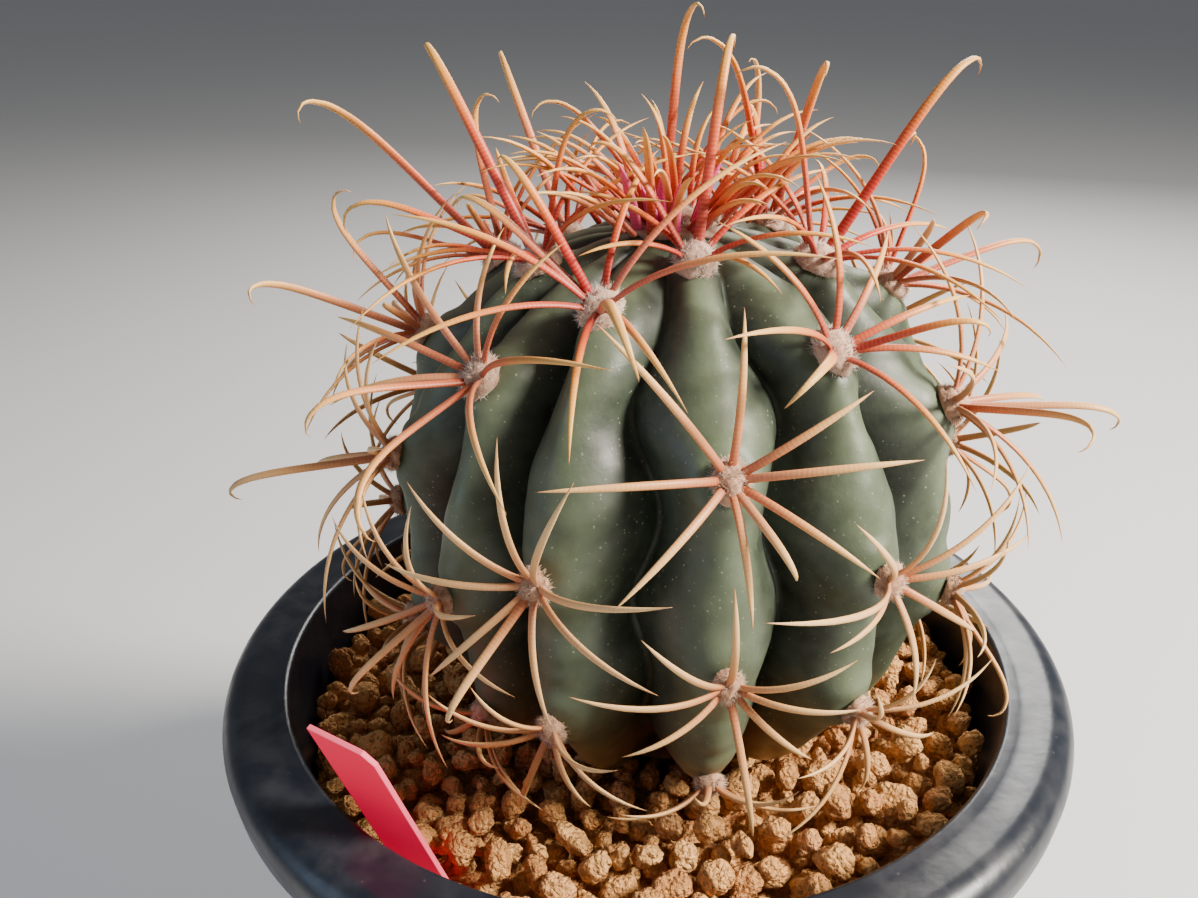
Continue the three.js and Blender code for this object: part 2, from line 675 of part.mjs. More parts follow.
function makeClusters() {
  const draw = seededDraw(AREOLE_SEED);
  const clusters = [];
  RIBS.forEach((rib, ribIndex) => rib.areoles.forEach((over, index) => {
    const key = `${ribIndex}_${index}`;
    const seen = SEEN_SPINES[key];
    const grown = grownSpines(over, draw);
    const frame = areoleFrame(rib, over);
    clusters.push({ key, over, frame, seen: Boolean(seen), spines: { ...grown, ...seen } });
    pads.push({
      cluster: key,
      foot: frame.centre,
      top: frame.centre.clone().addScaledVector(frame.normal, PAD_HEIGHT),
    });
  }));
  clusters.sort((a, b) => Number(b.seen) - Number(a.seen));
  for (const cluster of clusters) {
    const parts = [makePad(cluster.frame)];
    for (const [clock, lift, length] of cluster.spines.hooks) {
      const line = clearSpine(cluster.key, cluster.frame, { ...HOOK, clock, lift, length });
      if (line) parts.push(spineSolid(line));
    }
    for (const [clock, length] of cluster.spines.radials) {
      const wanted = { ...RADIAL, clock, lift: SPINE_LIFT, length: SPINE_STRETCH * length };
      const line = clearSpine(cluster.key, cluster.frame, wanted);
      if (line) parts.push(spineSolid(line));
    }
    cluster.solid = wasm.Manifold.union(parts);
  }
  return clusters;
}

// The crown, a low cushion of wool with the young spines standing in it

function makeCrown() {
  const foot = new THREE.Vector3(STEM_X, STEM_Y, CROWN_TOP + GAP);
  const ringAt = (radius, up) => {
    const ring = [];
    for (let i = 0; i < CROWN_SIDES; i += 1) {
      const turn = 2 * Math.PI * i / CROWN_SIDES;
      const out = new THREE.Vector3(radius * Math.cos(turn), radius * Math.sin(turn), up);
      ring.push(foot.clone().add(out));
    }
    return ring;
  };
  const top = foot.clone().setZ(foot.z + CROWN_HEIGHT);
  const shoulder = ringAt(CROWN_RADIUS * CROWN_SHOULDER, CROWN_HEIGHT * CROWN_SHOULDER);
  const parts = [skinned(foot, [ringAt(CROWN_RADIUS, 0), shoulder], top)];
  const draw = seededDraw(CROWN_SEED);
  for (let i = 0; i < YOUNG_SPINES; i += 1) {
    const share = Math.sqrt((i + 0.5) / YOUNG_SPINES);
    const turn = radians(YOUNG_TURN * i);
    const normal = new THREE.Vector3(0, 0, 1);
    const upward = new THREE.Vector3(Math.cos(turn), Math.sin(turn), 0);
    const side = new THREE.Vector3().crossVectors(normal, upward);
    const centre = foot.clone().addScaledVector(upward, share * CROWN_RADIUS * YOUNG_RING);
    const wanted = {
      ...YOUNG,
      clock: draw(-20, 20),
      lift: YOUNG_LIFT - YOUNG_LEAN * share,
      length: draw(13, 17) + YOUNG_REACH * share,
    };
    const line = clearSpine('crown', { centre, upward, side, normal }, wanted);
    if (line) parts.push(spineSolid(line));
  }
  return wasm.Manifold.union(parts);
}

// The label, a thin strip that leans out over the rim

function makeLabel(margin) {
  const along = LABEL_RISE.clone().normalize();
  const across = labelAcross.clone().normalize();
  const width = labelAcross.length();
  const length = LABEL_RISE.length();
  const outline = new THREE.Shape();
  outline.moveTo(-margin, -LABEL_BURIED - margin);
  outline.lineTo(width + margin, -LABEL_BURIED - margin);
  outline.lineTo(width + margin, length - LABEL_CHAMFER);
  outline.lineTo(width - LABEL_CHAMFER, length);
  outline.lineTo(-margin, length);
  outline.closePath();
  const depth = LABEL_THICKNESS + 2 * margin;
  const plate = new THREE.ExtrudeGeometry(outline, { depth, bevelEnabled: false });
  plate.translate(0, 0, -depth / 2);
  const level = new THREE.Vector3().crossVectors(labelFace, along);
  if (level.dot(across) < 0) level.negate();
  const stand = new THREE.Matrix4().makeBasis(level, along, labelFace);
  plate.applyMatrix4(stand.setPosition(LABEL_LEFT));
  return toSolid(plate);
}

// The gravel bed, a fill of the pot with loose stones on top, and plain holes for the
// stem's foot and the label

function makeGravel() {
  const draw = seededDraw(GRAVEL_SEED);
  const pitch = STONE_SPACING / Math.sqrt(3);
  const rows = Math.ceil(2 * MOUTH_RADIUS / (pitch * STONE_ROW));
  const columns = Math.ceil(2 * MOUTH_RADIUS / pitch);
  // One lattice point in three is the top of a stone, and its six neighbours lie low
  const rings = [];
  for (let row = 0; row <= rows; row += 1) {
    const line = [];
    for (let column = 0; column <= columns; column += 1) {
      const isTop = (column + Math.floor(row / 2) + 2 * row) % 3 === 0;
      line.push(new THREE.Vector3(
        (column + (row % 2) / 2 - columns / 2) * pitch + draw(-STONE_JITTER, STONE_JITTER),
        (row - rows / 2) * pitch * STONE_ROW + draw(-STONE_JITTER, STONE_JITTER),
        SOIL_TOP + (isTop ? STONE_HEIGHT * draw(0.55, 1) : draw(-0.8, 0.6)),
      ));
    }
    rings.push(line);
  }
  const relief = sheetSolid(rings, POT_FLOOR / 2);
  const inside = turned([
    [0, POT_FLOOR + GAP],
    [potInner(POT_FLOOR) - BED_CLEARANCE, POT_FLOOR + GAP],
    [potInner(POT_HEIGHT) - BED_CLEARANCE, POT_HEIGHT],
    [0, POT_HEIGHT],
  ], POT_SIDES);
  const wellRadius = (height) => crestRadius(height) + (1 - TUBERCLE_LEVEL) * TUBERCLE + BED_CLEARANCE;
  const well = turned([
    [0, SOIL_TOP - NECK_DEPTH - GAP],
    [NECK_TOP_RADIUS + WELL_CLEARANCE, SOIL_TOP - NECK_DEPTH - GAP],
    [NECK_TOP_RADIUS + WELL_CLEARANCE, SOIL_TOP - NECK_OVERLAP / 2],
    [wellRadius(SOIL_TOP), SOIL_TOP - NECK_OVERLAP / 2],
    [wellRadius(SOIL_TOP + STONE_HEIGHT / 2), SOIL_TOP + STONE_HEIGHT / 2],
    [wellRadius(SOIL_TOP + STONE_HEIGHT), SOIL_TOP + STONE_HEIGHT + GAP],
    [0, SOIL_TOP + STONE_HEIGHT + GAP],
  ], WELL_SIDES).translate([STEM_X, STEM_Y, 0]);
  return relief.intersect(inside).subtract(well).subtract(makeLabel(BED_CLEARANCE));
}

// Materials, by the colours of the real thing

const finishes = {
  pot: new THREE.MeshStandardMaterial({ color: 0x17181c, roughness: 0.45, metalness: 0 }),
  gravel: new THREE.MeshStandardMaterial({ color: 0xb98a58, roughness: 0.95, metalness: 0 }),
  label: new THREE.MeshStandardMaterial({ color: 0xe8304c, roughness: 0.5, metalness: 0 }),
  flesh: new THREE.MeshStandardMaterial({ color: 0x5b6e55, roughness: 0.55, metalness: 0 }),
  youngSpines: new THREE.MeshStandardMaterial({ color: 0xc4505a, roughness: 0.5, metalness: 0 }),
  upperSpines: new THREE.MeshStandardMaterial({ color: 0xcf8560, roughness: 0.5, metalness: 0 }),
  lowerSpines: new THREE.MeshStandardMaterial({ color: 0xd8b48c, roughness: 0.55, metalness: 0 }),
};

const model = new THREE.Group();

function addPiece(name, solid, finish) {
  const mesh = new THREE.Mesh(toGeometry(solid), finish);
  mesh.name = name;
  model.add(mesh);
}

addPiece('pot', makePot(), finishes.pot);
addPiece('gravel_bed', makeGravel(), finishes.gravel);
addPiece('label', makeLabel(0), finishes.label);
addPiece('stem', makeStem(), finishes.flesh);
for (const { key, over, solid } of makeClusters()) {
  addPiece(`areole_${key}`, solid, over > YOUNG_ABOVE ? finishes.upperSpines : finishes.lowerSpines);
}
addPiece('crown', makeCrown(), finishes.youngSpines);

export default model;
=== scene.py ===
# %% [markdown]
# # A potted barrel cactus with hooked spines
#
# The plant is a young ferocactus in a round black plastic pot filled with porous gravel.
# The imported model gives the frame: every size and place below is worked out in that frame,
# with +Z up and the origin in the middle of the pot's underside.
#
# We work in millimetres, because a grower measures a small cactus so, and turn the numbers
# into Blender's metres only where a mesh is made.

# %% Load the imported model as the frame
import itertools
import math

import bpy
import numpy as np
from mathutils import Matrix, Vector


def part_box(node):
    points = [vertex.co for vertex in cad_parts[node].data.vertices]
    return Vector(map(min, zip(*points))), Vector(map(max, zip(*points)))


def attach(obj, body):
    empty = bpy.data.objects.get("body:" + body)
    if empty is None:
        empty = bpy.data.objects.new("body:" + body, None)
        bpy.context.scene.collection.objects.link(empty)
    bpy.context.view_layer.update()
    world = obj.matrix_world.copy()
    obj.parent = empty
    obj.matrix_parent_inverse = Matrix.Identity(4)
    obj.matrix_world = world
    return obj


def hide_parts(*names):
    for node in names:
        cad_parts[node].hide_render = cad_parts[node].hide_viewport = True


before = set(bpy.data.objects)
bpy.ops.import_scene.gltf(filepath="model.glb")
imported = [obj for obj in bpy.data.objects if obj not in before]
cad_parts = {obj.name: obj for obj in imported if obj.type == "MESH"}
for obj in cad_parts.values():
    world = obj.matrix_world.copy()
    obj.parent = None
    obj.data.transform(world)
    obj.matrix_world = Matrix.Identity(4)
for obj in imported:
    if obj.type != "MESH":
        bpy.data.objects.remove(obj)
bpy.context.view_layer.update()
MM = 0.001
print("nodes in the frame:", len(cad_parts))

# %% [markdown]
# ## The camera
#
# The photograph looks down on the pot at about 25 degrees, from a fifth of a metre away,
# so the rim is a wide ellipse and the near spines are larger than the far ones. A camera
# could be aimed with a constraint, but then its small roll would be lost. We write its
# three axes from yaw, pitch and roll instead, which are what a photographer sets.

# %% Camera
IMAGE_WIDTH = 1198
CAMERA_PLACE = (0, -169.5, 228.2)
CAMERA_YAW = math.radians(-2.54)
CAMERA_PITCH = math.radians(25.2)
CAMERA_ROLL = math.radians(-0.8)
FOCAL_PIXELS = 1100
SENSOR_WIDTH = 36


def aim_camera():
    forward = Vector((
        math.sin(CAMERA_YAW) * math.cos(CAMERA_PITCH),
        math.cos(CAMERA_YAW) * math.cos(CAMERA_PITCH),
        -math.sin(CAMERA_PITCH),
    ))
    level = forward.cross(Vector((0, 0, 1))).normalized()
    upright = level.cross(forward)
    right = level * math.cos(CAMERA_ROLL) + upright * math.sin(CAMERA_ROLL)
    up = upright * math.cos(CAMERA_ROLL) - level * math.sin(CAMERA_ROLL)
    axes = Matrix((right, up, -forward)).transposed().to_4x4()
    return Matrix.Translation(Vector(CAMERA_PLACE) * MM) @ axes


camera_data = bpy.data.cameras.new("photo_camera")
camera_data.sensor_width = SENSOR_WIDTH
camera_data.lens = FOCAL_PIXELS / IMAGE_WIDTH * SENSOR_WIDTH
camera_data.clip_start = 0.01
camera = bpy.data.objects.new("photo_camera", camera_data)
camera.matrix_world = aim_camera()
bpy.context.scene.collection.objects.link(camera)
bpy.context.scene.camera = camera
print("lens in mm:", round(camera_data.lens, 2))

# %% [markdown]
# ## Small helpers
#
# Every piece below is a mesh that we work out with numpy. One function turns its points
# into an object, gives it its materials, and lets it ride on the frame's body. Another one
# stores a number at each point, such as how far along a spine the point lies, which the
# materials read to colour the piece.

# %% Helpers for meshes
def new_piece(name, places, faces, materials, stands_for=(), smooth=True):
    """A piece from points in millimetres, which stands for the given CAD nodes."""
    mesh = bpy.data.meshes.new(name)
    mesh.from_pydata((np.asarray(places) * MM).tolist(), [], faces)
    mesh.polygons.foreach_set("use_smooth", [smooth] * len(mesh.polygons))
    for material in materials:
        mesh.materials.append(material)
    mesh.update()
    piece = bpy.data.objects.new(name, mesh)
    bpy.context.scene.collection.objects.link(piece)
    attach(piece, "root")
    if stands_for:
        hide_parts(*stands_for)
    return piece


def store_values(piece, name, values):
    """One number at each point of the piece, for its material to read."""
    attribute = piece.data.attributes.new(name, "FLOAT", "POINT")
    attribute.data.foreach_set("value", np.asarray(values, dtype=np.float32))


def ring_faces(rings, sides):
    """Quads between rings of points, each ring joined up with itself."""
    faces = []
    for row in range(rings - 1):
        low = row * sides
        high = low + sides
        for i in range(sides):
            after = (i + 1) % sides
            faces.append((low + i, low + after, high + after, high + i))
    return faces


def fan_faces(centre, ring_start, sides, turned=False):
    """Triangles from one point to a ring of points."""
    faces = []
    for i in range(sides):
        corners = (centre, ring_start + i, ring_start + (i + 1) % sides)
        faces.append(corners if turned else corners[::-1])
    return faces


def closed_faces(rings, sides):
    """All faces of a closed body of rings, whose two end points come after its rings."""
    last = rings * sides
    faces = ring_faces(rings, sides)
    faces += fan_faces(last, 0, sides)
    faces += fan_faces(last + 1, last - sides, sides, turned=True)
    return faces


def level_ring(radius, height, sides, x=0, y=0):
    """Points of a level circle round an upright axis through x, y."""
    turns = 2 * np.pi * np.arange(sides) / sides
    around = [x + radius * np.cos(turns), y + radius * np.sin(turns)]
    return np.stack([*around, np.full(sides, height)], axis=-1)


print("mesh helpers ready")

# %% Helpers for directions, draws and unevenness
def unit(vectors):
    """The vectors, each at length one."""
    return vectors / np.linalg.norm(vectors, axis=-1, keepdims=True)


# The usual numbers of a linear congruential generator
DRAW_FACTOR = 1664525
DRAW_STEP = 1013904223
DRAW_LIMIT = 4294967296


def seeded_draw(seed):
    """Draws between two limits that come out the same on every run."""
    state = seed

    def draw(low, high):
        nonlocal state
        state = (state * DRAW_FACTOR + DRAW_STEP) % DRAW_LIMIT
        return low + (high - low) * state / DRAW_LIMIT

    return draw


WAVE_SHIFT = 6.28


def wavy(places, seed, longest, shortest, waves=14):
    """Soft unevenness, about -1 to 1: a sum of plane waves in random directions."""
    rng = np.random.default_rng(seed)
    total = np.zeros(len(places))
    for _ in range(waves):
        direction = unit(rng.normal(size=3))
        length = rng.uniform(shortest, longest)
        total += np.sin(places @ direction * (2 * math.pi / length) + rng.uniform(0, WAVE_SHIFT))
    return total / math.sqrt(waves)


print("one draw from 0 to 10:", round(seeded_draw(1)(0, 10), 2))

# %% [markdown]
# ## Shader effects that several finishes share
#
# Nothing on a grown thing has one even colour. Two effects do most of the work: a slow
# change of tone, and small scattered specks, which are pores on the gravel, scars on the
# skin and dust on the pot. Each is a node group with named inputs, so every material can
# place it with its own values.

# %% Node group helpers
def new_group(name, inputs, outputs):
    group = bpy.data.node_groups.new(name, "ShaderNodeTree")
    for label, kind, default in inputs:
        socket = group.interface.new_socket(name=label, in_out="INPUT", socket_type=kind)
        socket.default_value = default
    for label, kind in outputs:
        group.interface.new_socket(name=label, in_out="OUTPUT", socket_type=kind)
    entry = group.nodes.new("NodeGroupInput")
    result = group.nodes.new("NodeGroupOutput")
    return group, entry, result


def add_node(tree, kind, settings=None, values=None, **links):
    """A node with its settings, plain socket values, and links by socket name."""
    node = tree.nodes.new(kind)
    for key, value in (settings or {}).items():
        setattr(node, key, value)
    for key, value in (values or {}).items():
        node.inputs[key].default_value = value
    for key, source in links.items():
        tree.links.new(source, node.inputs[key.replace("_", " ")])
    return node


def add_math(tree, operation, first, second=None, clamp=False):
    """The result of a Math node on two links or numbers."""
    node = tree.nodes.new("ShaderNodeMath")
    node.operation = operation
    node.use_clamp = clamp
    for index, value in enumerate((first, second)):
        if value is None:
            continue
        if isinstance(value, (int, float)):
            node.inputs[index].default_value = value
        else:
            tree.links.new(value, node.inputs[index])
    return node.outputs[0]


def multiply(tree, first, second):
    return add_math(tree, "MULTIPLY", first, second)


def add_mix(tree, share, first, second):
    """A mix of two colours, where each may be a link or four numbers."""
    node = tree.nodes.new("ShaderNodeMix")
    node.data_type = "RGBA"
    for index, value in ((0, share), (6, first), (7, second)):
        if isinstance(value, bpy.types.NodeSocket):
            tree.links.new(value, node.inputs[index])
        else:
            node.inputs[index].default_value = value
    return node.outputs[2]


def paint_over(tree, under, mask, amount, colour):
    """The colour over what lies under it, where the mask is, as strongly as the amount."""
    return add_mix(tree, multiply(tree, mask, amount), under, colour)


def add_range(tree, value, low, high, start=0.0, end=1.0):
    """The value moved from the span low-high to the span start-end, and held inside it."""
    node = tree.nodes.new("ShaderNodeMapRange")
    node.interpolation_type = "SMOOTHSTEP"
    tree.links.new(value, node.inputs[0])
    for index, number in enumerate((low, high, start, end), start=1):
        node.inputs[index].default_value = number
    return node.outputs[0]


def place_group(tree, group, **values):
    """The output of a group in a material, with plain values or links by input name."""
    node = tree.nodes.new("ShaderNodeGroup")
    node.node_tree = group
    for key, value in values.items():
        socket = node.inputs[key.replace("_", " ")]
        if isinstance(value, bpy.types.NodeSocket):
            tree.links.new(value, socket)
        else:
            socket.default_value = value
    return node.outputs[0]


print("node helpers ready")

# %% The shared effects
SPECK_SOFTNESS = 0.06


def make_tone_group():
    group, entry, result = new_group(
        "slow_tone",
        [
            ("Size", "NodeSocketFloat", 0.01),
            ("Low", "NodeSocketFloat", 0.0),
            ("High", "NodeSocketFloat", 1.0),
        ],
        [("Value", "NodeSocketFloat")],
    )
    place = add_node(group, "ShaderNodeTexCoord")
    scale = add_math(group, "DIVIDE", 1.0, entry.outputs["Size"])
    cloud = add_node(group, "ShaderNodeTexNoise", values={"Detail": 4.0, "Roughness": 0.55},
                     Vector=place.outputs["Object"], Scale=scale)
    spread = add_range(group, cloud.outputs["Fac"], 0.3, 0.7)
    span = add_math(group, "SUBTRACT", entry.outputs["High"], entry.outputs["Low"])
    scaled = multiply(group, spread, span)
    group.links.new(add_math(group, "ADD", scaled, entry.outputs["Low"]), result.inputs["Value"])
    return group


def make_speck_group():
    group, entry, result = new_group(
        "scattered_specks",
        [("Size", "NodeSocketFloat", 0.001), ("Spacing", "NodeSocketFloat", 0.004)],
        [("Mask", "NodeSocketFloat")],
    )
    place = add_node(group, "ShaderNodeTexCoord")
    scale = add_math(group, "DIVIDE", 1.0, entry.outputs["Spacing"])
    cells = add_node(group, "ShaderNodeTexVoronoi", values={"Randomness": 1.0},
                     Vector=place.outputs["Object"], Scale=scale)
    # Each cell has its own speck size, and the least of them have none
    own = add_node(group, "ShaderNodeSeparateColor", Color=cells.outputs["Color"])
    share = add_math(group, "DIVIDE", entry.outputs["Size"], entry.outputs["Spacing"])
    reach = multiply(group, share, own.outputs[0])
    inside = add_math(group, "SUBTRACT", reach, cells.outputs["Distance"])
    soft = add_math(group, "DIVIDE", inside, SPECK_SOFTNESS)
    group.links.new(add_math(group, "MAXIMUM", soft, 0.0, clamp=True), result.inputs["Mask"])
    return group


SLOW_TONE = make_tone_group()
SPECKS = make_speck_group()
print("groups:", SLOW_TONE.name, SPECKS.name)

# %% A new material
def new_material(name, roughness, **sockets):
    """A material, its node tree and its Principled BSDF."""
    material = bpy.data.materials.new(name)
    material.use_nodes = True
    tree = material.node_tree
    shader = tree.nodes["Principled BSDF"]
    shader.inputs["Roughness"].default_value = roughness
    for key, value in sockets.items():
        shader.inputs[key.replace("_", " ")].default_value = value
    return material, tree, shader


def slow_tone(tree, size, low=0.0, high=1.0):
    """Patches of about this size in metres, with values from low to high."""
    return place_group(tree, SLOW_TONE, Size=size, Low=low, High=high)


def read_value(tree, name):
    """The number of this name that a piece stores at its points."""
    return add_node(tree, "ShaderNodeAttribute", {"attribute_name": name}).outputs["Fac"]


def set_ramp(node, stops):
    """Colours of a ramp by their places."""
    elements = node.color_ramp.elements
    while len(elements) < len(stops):
        elements.new(0.5)
    for element, (place, colour) in zip(elements, stops):
        element.position = place
        element.color = (*colour, 1)


def add_bump(tree, shader, height, strength, distance):
    values = {"Strength": strength, "Distance": distance}
    bump = add_node(tree, "ShaderNodeBump", values=values, Height=height)
    tree.links.new(bump.outputs[0], shader.inputs["Normal"])


print("material helpers ready")

# %% [markdown]
# ## The ribbed stem
#
# A barrel cactus stores water in a stem that folds like a bellows. Thirteen ribs run from
# the crown to the soil. Each rib swells down to its next areole, carries it on a shoulder,
# and drops in below it. Near the crown a rib is widest a little above its areoles and
# slimmest below them, and its neighbours' areoles stand at other heights, so the grooves
# between the ribs snake. At the gravel the ribs end in narrow toes.
#
# Sculpting that by hand would give thirteen ribs that disagree. We write the radius as a
# formula of the azimuth and the height instead, the same one as that of the solid part,
# and only lay a much finer lattice of points over it.

# %% Driving dimensions of the stem
POT_HEIGHT = 110
GAP = 0.3
SOIL_TOP = POT_HEIGHT - 10
STEM_X = 5
STEM_Y = -1
STEM_RADIUS = 46.2
STEM_WAIST = POT_HEIGHT + 34
CROWN_RISE = 42.7
BELLY_DROP = 50.2
STEM_ROUNDNESS = 2.2
GROOVE = 0.26
GROOVE_WAVE = 0.08
WAVE_WIDEST = 0.85
WAVE_LEAST = 0.25
WAVE_TOP = 60
TUBERCLE = 3.5
TUBERCLE_LEVEL = 0.65
TUBERCLE_POWER = 1.3
CHIN_SHARE = 0.25
RIB_FULLNESS = 0.62
RIDGE_SHARPNESS = 0.45
RELIEF_FADE = 30
TOE_HEIGHT = 26
TOE_SHARPNESS = 1.5
TOE_GROOVE = 0.16
NEXT_ABOVE = 22
NEXT_BELOW = 26
NECK_TOP_RADIUS = 16.8
NECK_RADIUS = 12
NECK_DEPTH = 24
CROWN_TOP = STEM_WAIST + CROWN_RISE

# Each rib's azimuth in degrees from -Y towards +X, and its areoles' heights over the rim
RIBS = [
    (8, [75, 54.5, 25.6, 1]),
    (37, [66, 37, 13]),
    (68, [73, 54, 23]),
    (97, [66, 38, 9]),
    (127, [74, 50, 19]),
    (157, [67, 40, 11]),
    (187, [75, 54, 26, 2]),
    (216, [68, 38, 12]),
    (246, [68, 43, 13]),
    (268, [59, 28, 4]),
    (292, [73, 46, 16]),
    (314, [62, 30, 6]),
    (336, [71, 39, 13]),
]
RIB_STARTS = np.array([(azimuth - RIBS[0][0]) % 360 for azimuth, _ in RIBS], dtype=float)
RIB_ENDS = np.append(RIB_STARTS[1:], 360.0)
print("ribs:", len(RIBS), "areoles:", sum(len(areoles) for _, areoles in RIBS))

# %% The stem's radius at any azimuth and height
def crest_radius(height):
    height = np.asarray(height, dtype=float)
    reach = np.where(height > STEM_WAIST, CROWN_RISE, BELLY_DROP)
    share = np.minimum(np.abs(height - STEM_WAIST) / reach, 1)
    return STEM_RADIUS * (1 - share ** STEM_ROUNDNESS) ** (1 / STEM_ROUNDNESS)


def rib_phase(areoles, height):
    """How far the place has come from the areole above it to the one below it."""
    over = np.asarray(height, dtype=float) - POT_HEIGHT
    stops = [areoles[0] + NEXT_ABOVE, *areoles, areoles[-1] - NEXT_BELOW]
    phase = np.ones_like(over)
    for upper, lower in reversed(list(zip(stops, stops[1:]))):
        share = np.clip((upper - over) / (upper - lower), 0, 1)
        phase = np.where(over > lower, share, phase)
    return phase


def groove_place(phase, next_phase, height):
    """The groove between two ribs, as a share of the way from one crest to the next."""
    spread = np.cos(2 * np.pi * (phase - WAVE_WIDEST)) - np.cos(2 * np.pi * (next_phase - WAVE_WIDEST))
    youth = np.clip((height - POT_HEIGHT) / WAVE_TOP, WAVE_LEAST, 1)
    return 0.5 + GROOVE_WAVE * youth * spread


def stem_radius(azimuth, height, with_share=False):
    azimuth = np.asarray(azimuth, dtype=float)
    height = np.asarray(height, dtype=float)
    turn = (azimuth - RIBS[0][0]) % 360
    index = np.searchsorted(RIB_STARTS, turn, side="right") - 1
    after = (index + 1) % len(RIBS)
    across = (turn - RIB_STARTS[index]) / (RIB_ENDS[index] - RIB_STARTS[index])
    phases = np.array([rib_phase(areoles, height) for _, areoles in RIBS])
    columns = np.arange(len(turn))
    near, far = phases[index, columns], phases[after, columns]
    groove = groove_place(near, far, height)
    first = across < groove
    phase = np.where(first, near, far)
    away = np.where(first, across / groove, (1 - across) / (1 - groove))
    chin = np.exp(-((phase / CHIN_SHARE) ** 2))
    toe = np.clip(1 - (height - SOIL_TOP) / TOE_HEIGHT, 0, 1) ** 2
    sharpness = RIB_FULLNESS + RIDGE_SHARPNESS * (phase ** 2 + chin) + TOE_SHARPNESS * toe
    shape = np.abs(np.cos(np.pi / 2 * away)) ** sharpness
    crest = crest_radius(height)
    swell = TUBERCLE * (phase ** TUBERCLE_POWER - TUBERCLE_LEVEL + chin)
    fade = np.minimum(crest / RELIEF_FADE, 1)
    radius = crest * (1 - (GROOVE + TOE_GROOVE * toe) * (1 - shape)) + swell * shape * fade
    if with_share:
        return radius, away
    return radius


def stem_place(azimuth, radius, height):
    angle = np.radians(azimuth)
    x = STEM_X + radius * np.sin(angle)
    y = STEM_Y - radius * np.cos(angle)
    return np.stack([x, y, height + 0 * radius], axis=-1)


print("stem across, in mm:", round(2 * float(crest_radius(STEM_WAIST)), 1))

# %% [markdown]
# ## Where the areoles sit
#
# An areole is the felted cushion on a rib from which the spines grow. Its own frame has
# three directions: up along the rib, to the side, and straight out of the skin. We need
# these frames before the skin itself, because the flesh rises in a small collar round each
# cushion.

# %% Frames of the areoles
SLOPE_STEP = 0.2


def areole_frame(azimuth, over):
    height = POT_HEIGHT + over
    widening = float(crest_radius(height + SLOPE_STEP) - crest_radius(height - SLOPE_STEP))
    slope = widening / (2 * SLOPE_STEP)
    angle = math.radians(azimuth)
    out = np.array([math.sin(angle), -math.cos(angle), 0.0])
    upward = unit(out * slope + np.array([0, 0, 1.0]))
    side = np.cross([0, 0, 1.0], out)
    centre = stem_place(azimuth, stem_radius([azimuth], [height]), height)[0]
    return {"centre": centre, "upward": upward, "side": side, "normal": np.cross(side, upward)}


AREOLES = {
    f"{rib}_{index}": {"over": over, **areole_frame(azimuth, over)}
    for rib, (azimuth, areoles) in enumerate(RIBS)
    for index, over in enumerate(areoles)
}
print("areoles placed:", len(AREOLES))

# %% The skin's fine lattice
SKIN_LOW = -60
SKIN_HIGH = 88.6
SKIN_ROWS = 236
SKIN_COLUMNS = 28
COLLAR_RISE = 0.45
COLLAR_RADIUS = 4.3
COLLAR_WIDTH = 1.6
DIMPLE_DEPTH = 0.4
DIMPLE_ABOVE = 6.6
DIMPLE_REACH = 2.4
DIMPLE_WIDTH = 1.8 * DIMPLE_REACH
UNEVEN = 0.2
FINE_UNEVEN = 0.25 * UNEVEN
SLOW_WAVES = (26, 8)
FINE_WAVES = (5, 2.5)
FADE_START = 4
FADE_HEIGHT = 12


def skin_angles():
    """Azimuths and heights of the lattice, with its columns following the grooves."""
    rows = np.linspace(SKIN_LOW, SKIN_HIGH, SKIN_ROWS)
    rise = np.sign(rows) * np.abs(np.sin(np.radians(rows))) ** (2 / STEM_ROUNDNESS)
    heights = STEM_WAIST + rise * np.where(rows > 0, CROWN_RISE, BELLY_DROP)
    shares = np.arange(SKIN_COLUMNS) / SKIN_COLUMNS
    azimuths = []
    for index, (azimuth, areoles) in enumerate(RIBS):
        next_azimuth, next_areoles = RIBS[(index + 1) % len(RIBS)]
        span = (next_azimuth - azimuth) % 360
        phases = rib_phase(areoles, heights), rib_phase(next_areoles, heights)
        groove = groove_place(*phases, heights)[:, None]
        across = np.where(shares < 0.5, 2 * shares * groove, 1 - 2 * (1 - shares) * (1 - groove))
        azimuths.append(azimuth + span * across)
    return np.concatenate(azimuths, axis=1), heights


def areole_relief(places):
    """A collar of flesh round each areole and a dimple in the rib just above it."""
    relief = np.zeros(len(places))
    for areole in AREOLES.values():
        offset = places - areole["centre"]
        near = np.abs(offset).max(axis=1) < 3 * COLLAR_RADIUS
        up = offset[near] @ areole["upward"]
        side = offset[near] @ areole["side"]
        past = np.hypot(up, side) - COLLAR_RADIUS
        relief[near] += COLLAR_RISE * np.exp(-((past / COLLAR_WIDTH) ** 2))
        dimple = np.hypot((up - DIMPLE_ABOVE) / DIMPLE_REACH, side / DIMPLE_WIDTH)
        relief[near] -= DIMPLE_DEPTH * np.exp(-dimple ** 2)
    return relief


def make_skin():
    azimuths, heights = skin_angles()
    sides = azimuths.shape[1]
    flat_azimuths = azimuths.ravel()
    flat_heights = np.repeat(heights, sides)
    radii, away = stem_radius(flat_azimuths, flat_heights, with_share=True)
    places = stem_place(flat_azimuths, radii, flat_heights)
    outward = unit(places - np.array([STEM_X, STEM_Y, STEM_WAIST]))
    fade = np.clip((flat_heights - SOIL_TOP - FADE_START) / FADE_HEIGHT, 0, 1)
    uneven = UNEVEN * wavy(places, 5, *SLOW_WAVES) + FINE_UNEVEN * wavy(places, 6, *FINE_WAVES)
    relief = (uneven + areole_relief(places)) * fade
    places += outward * relief[:, None]
    return places, away, sides


skin, skin_away, skin_sides = make_skin()
print("points on the skin:", len(skin))

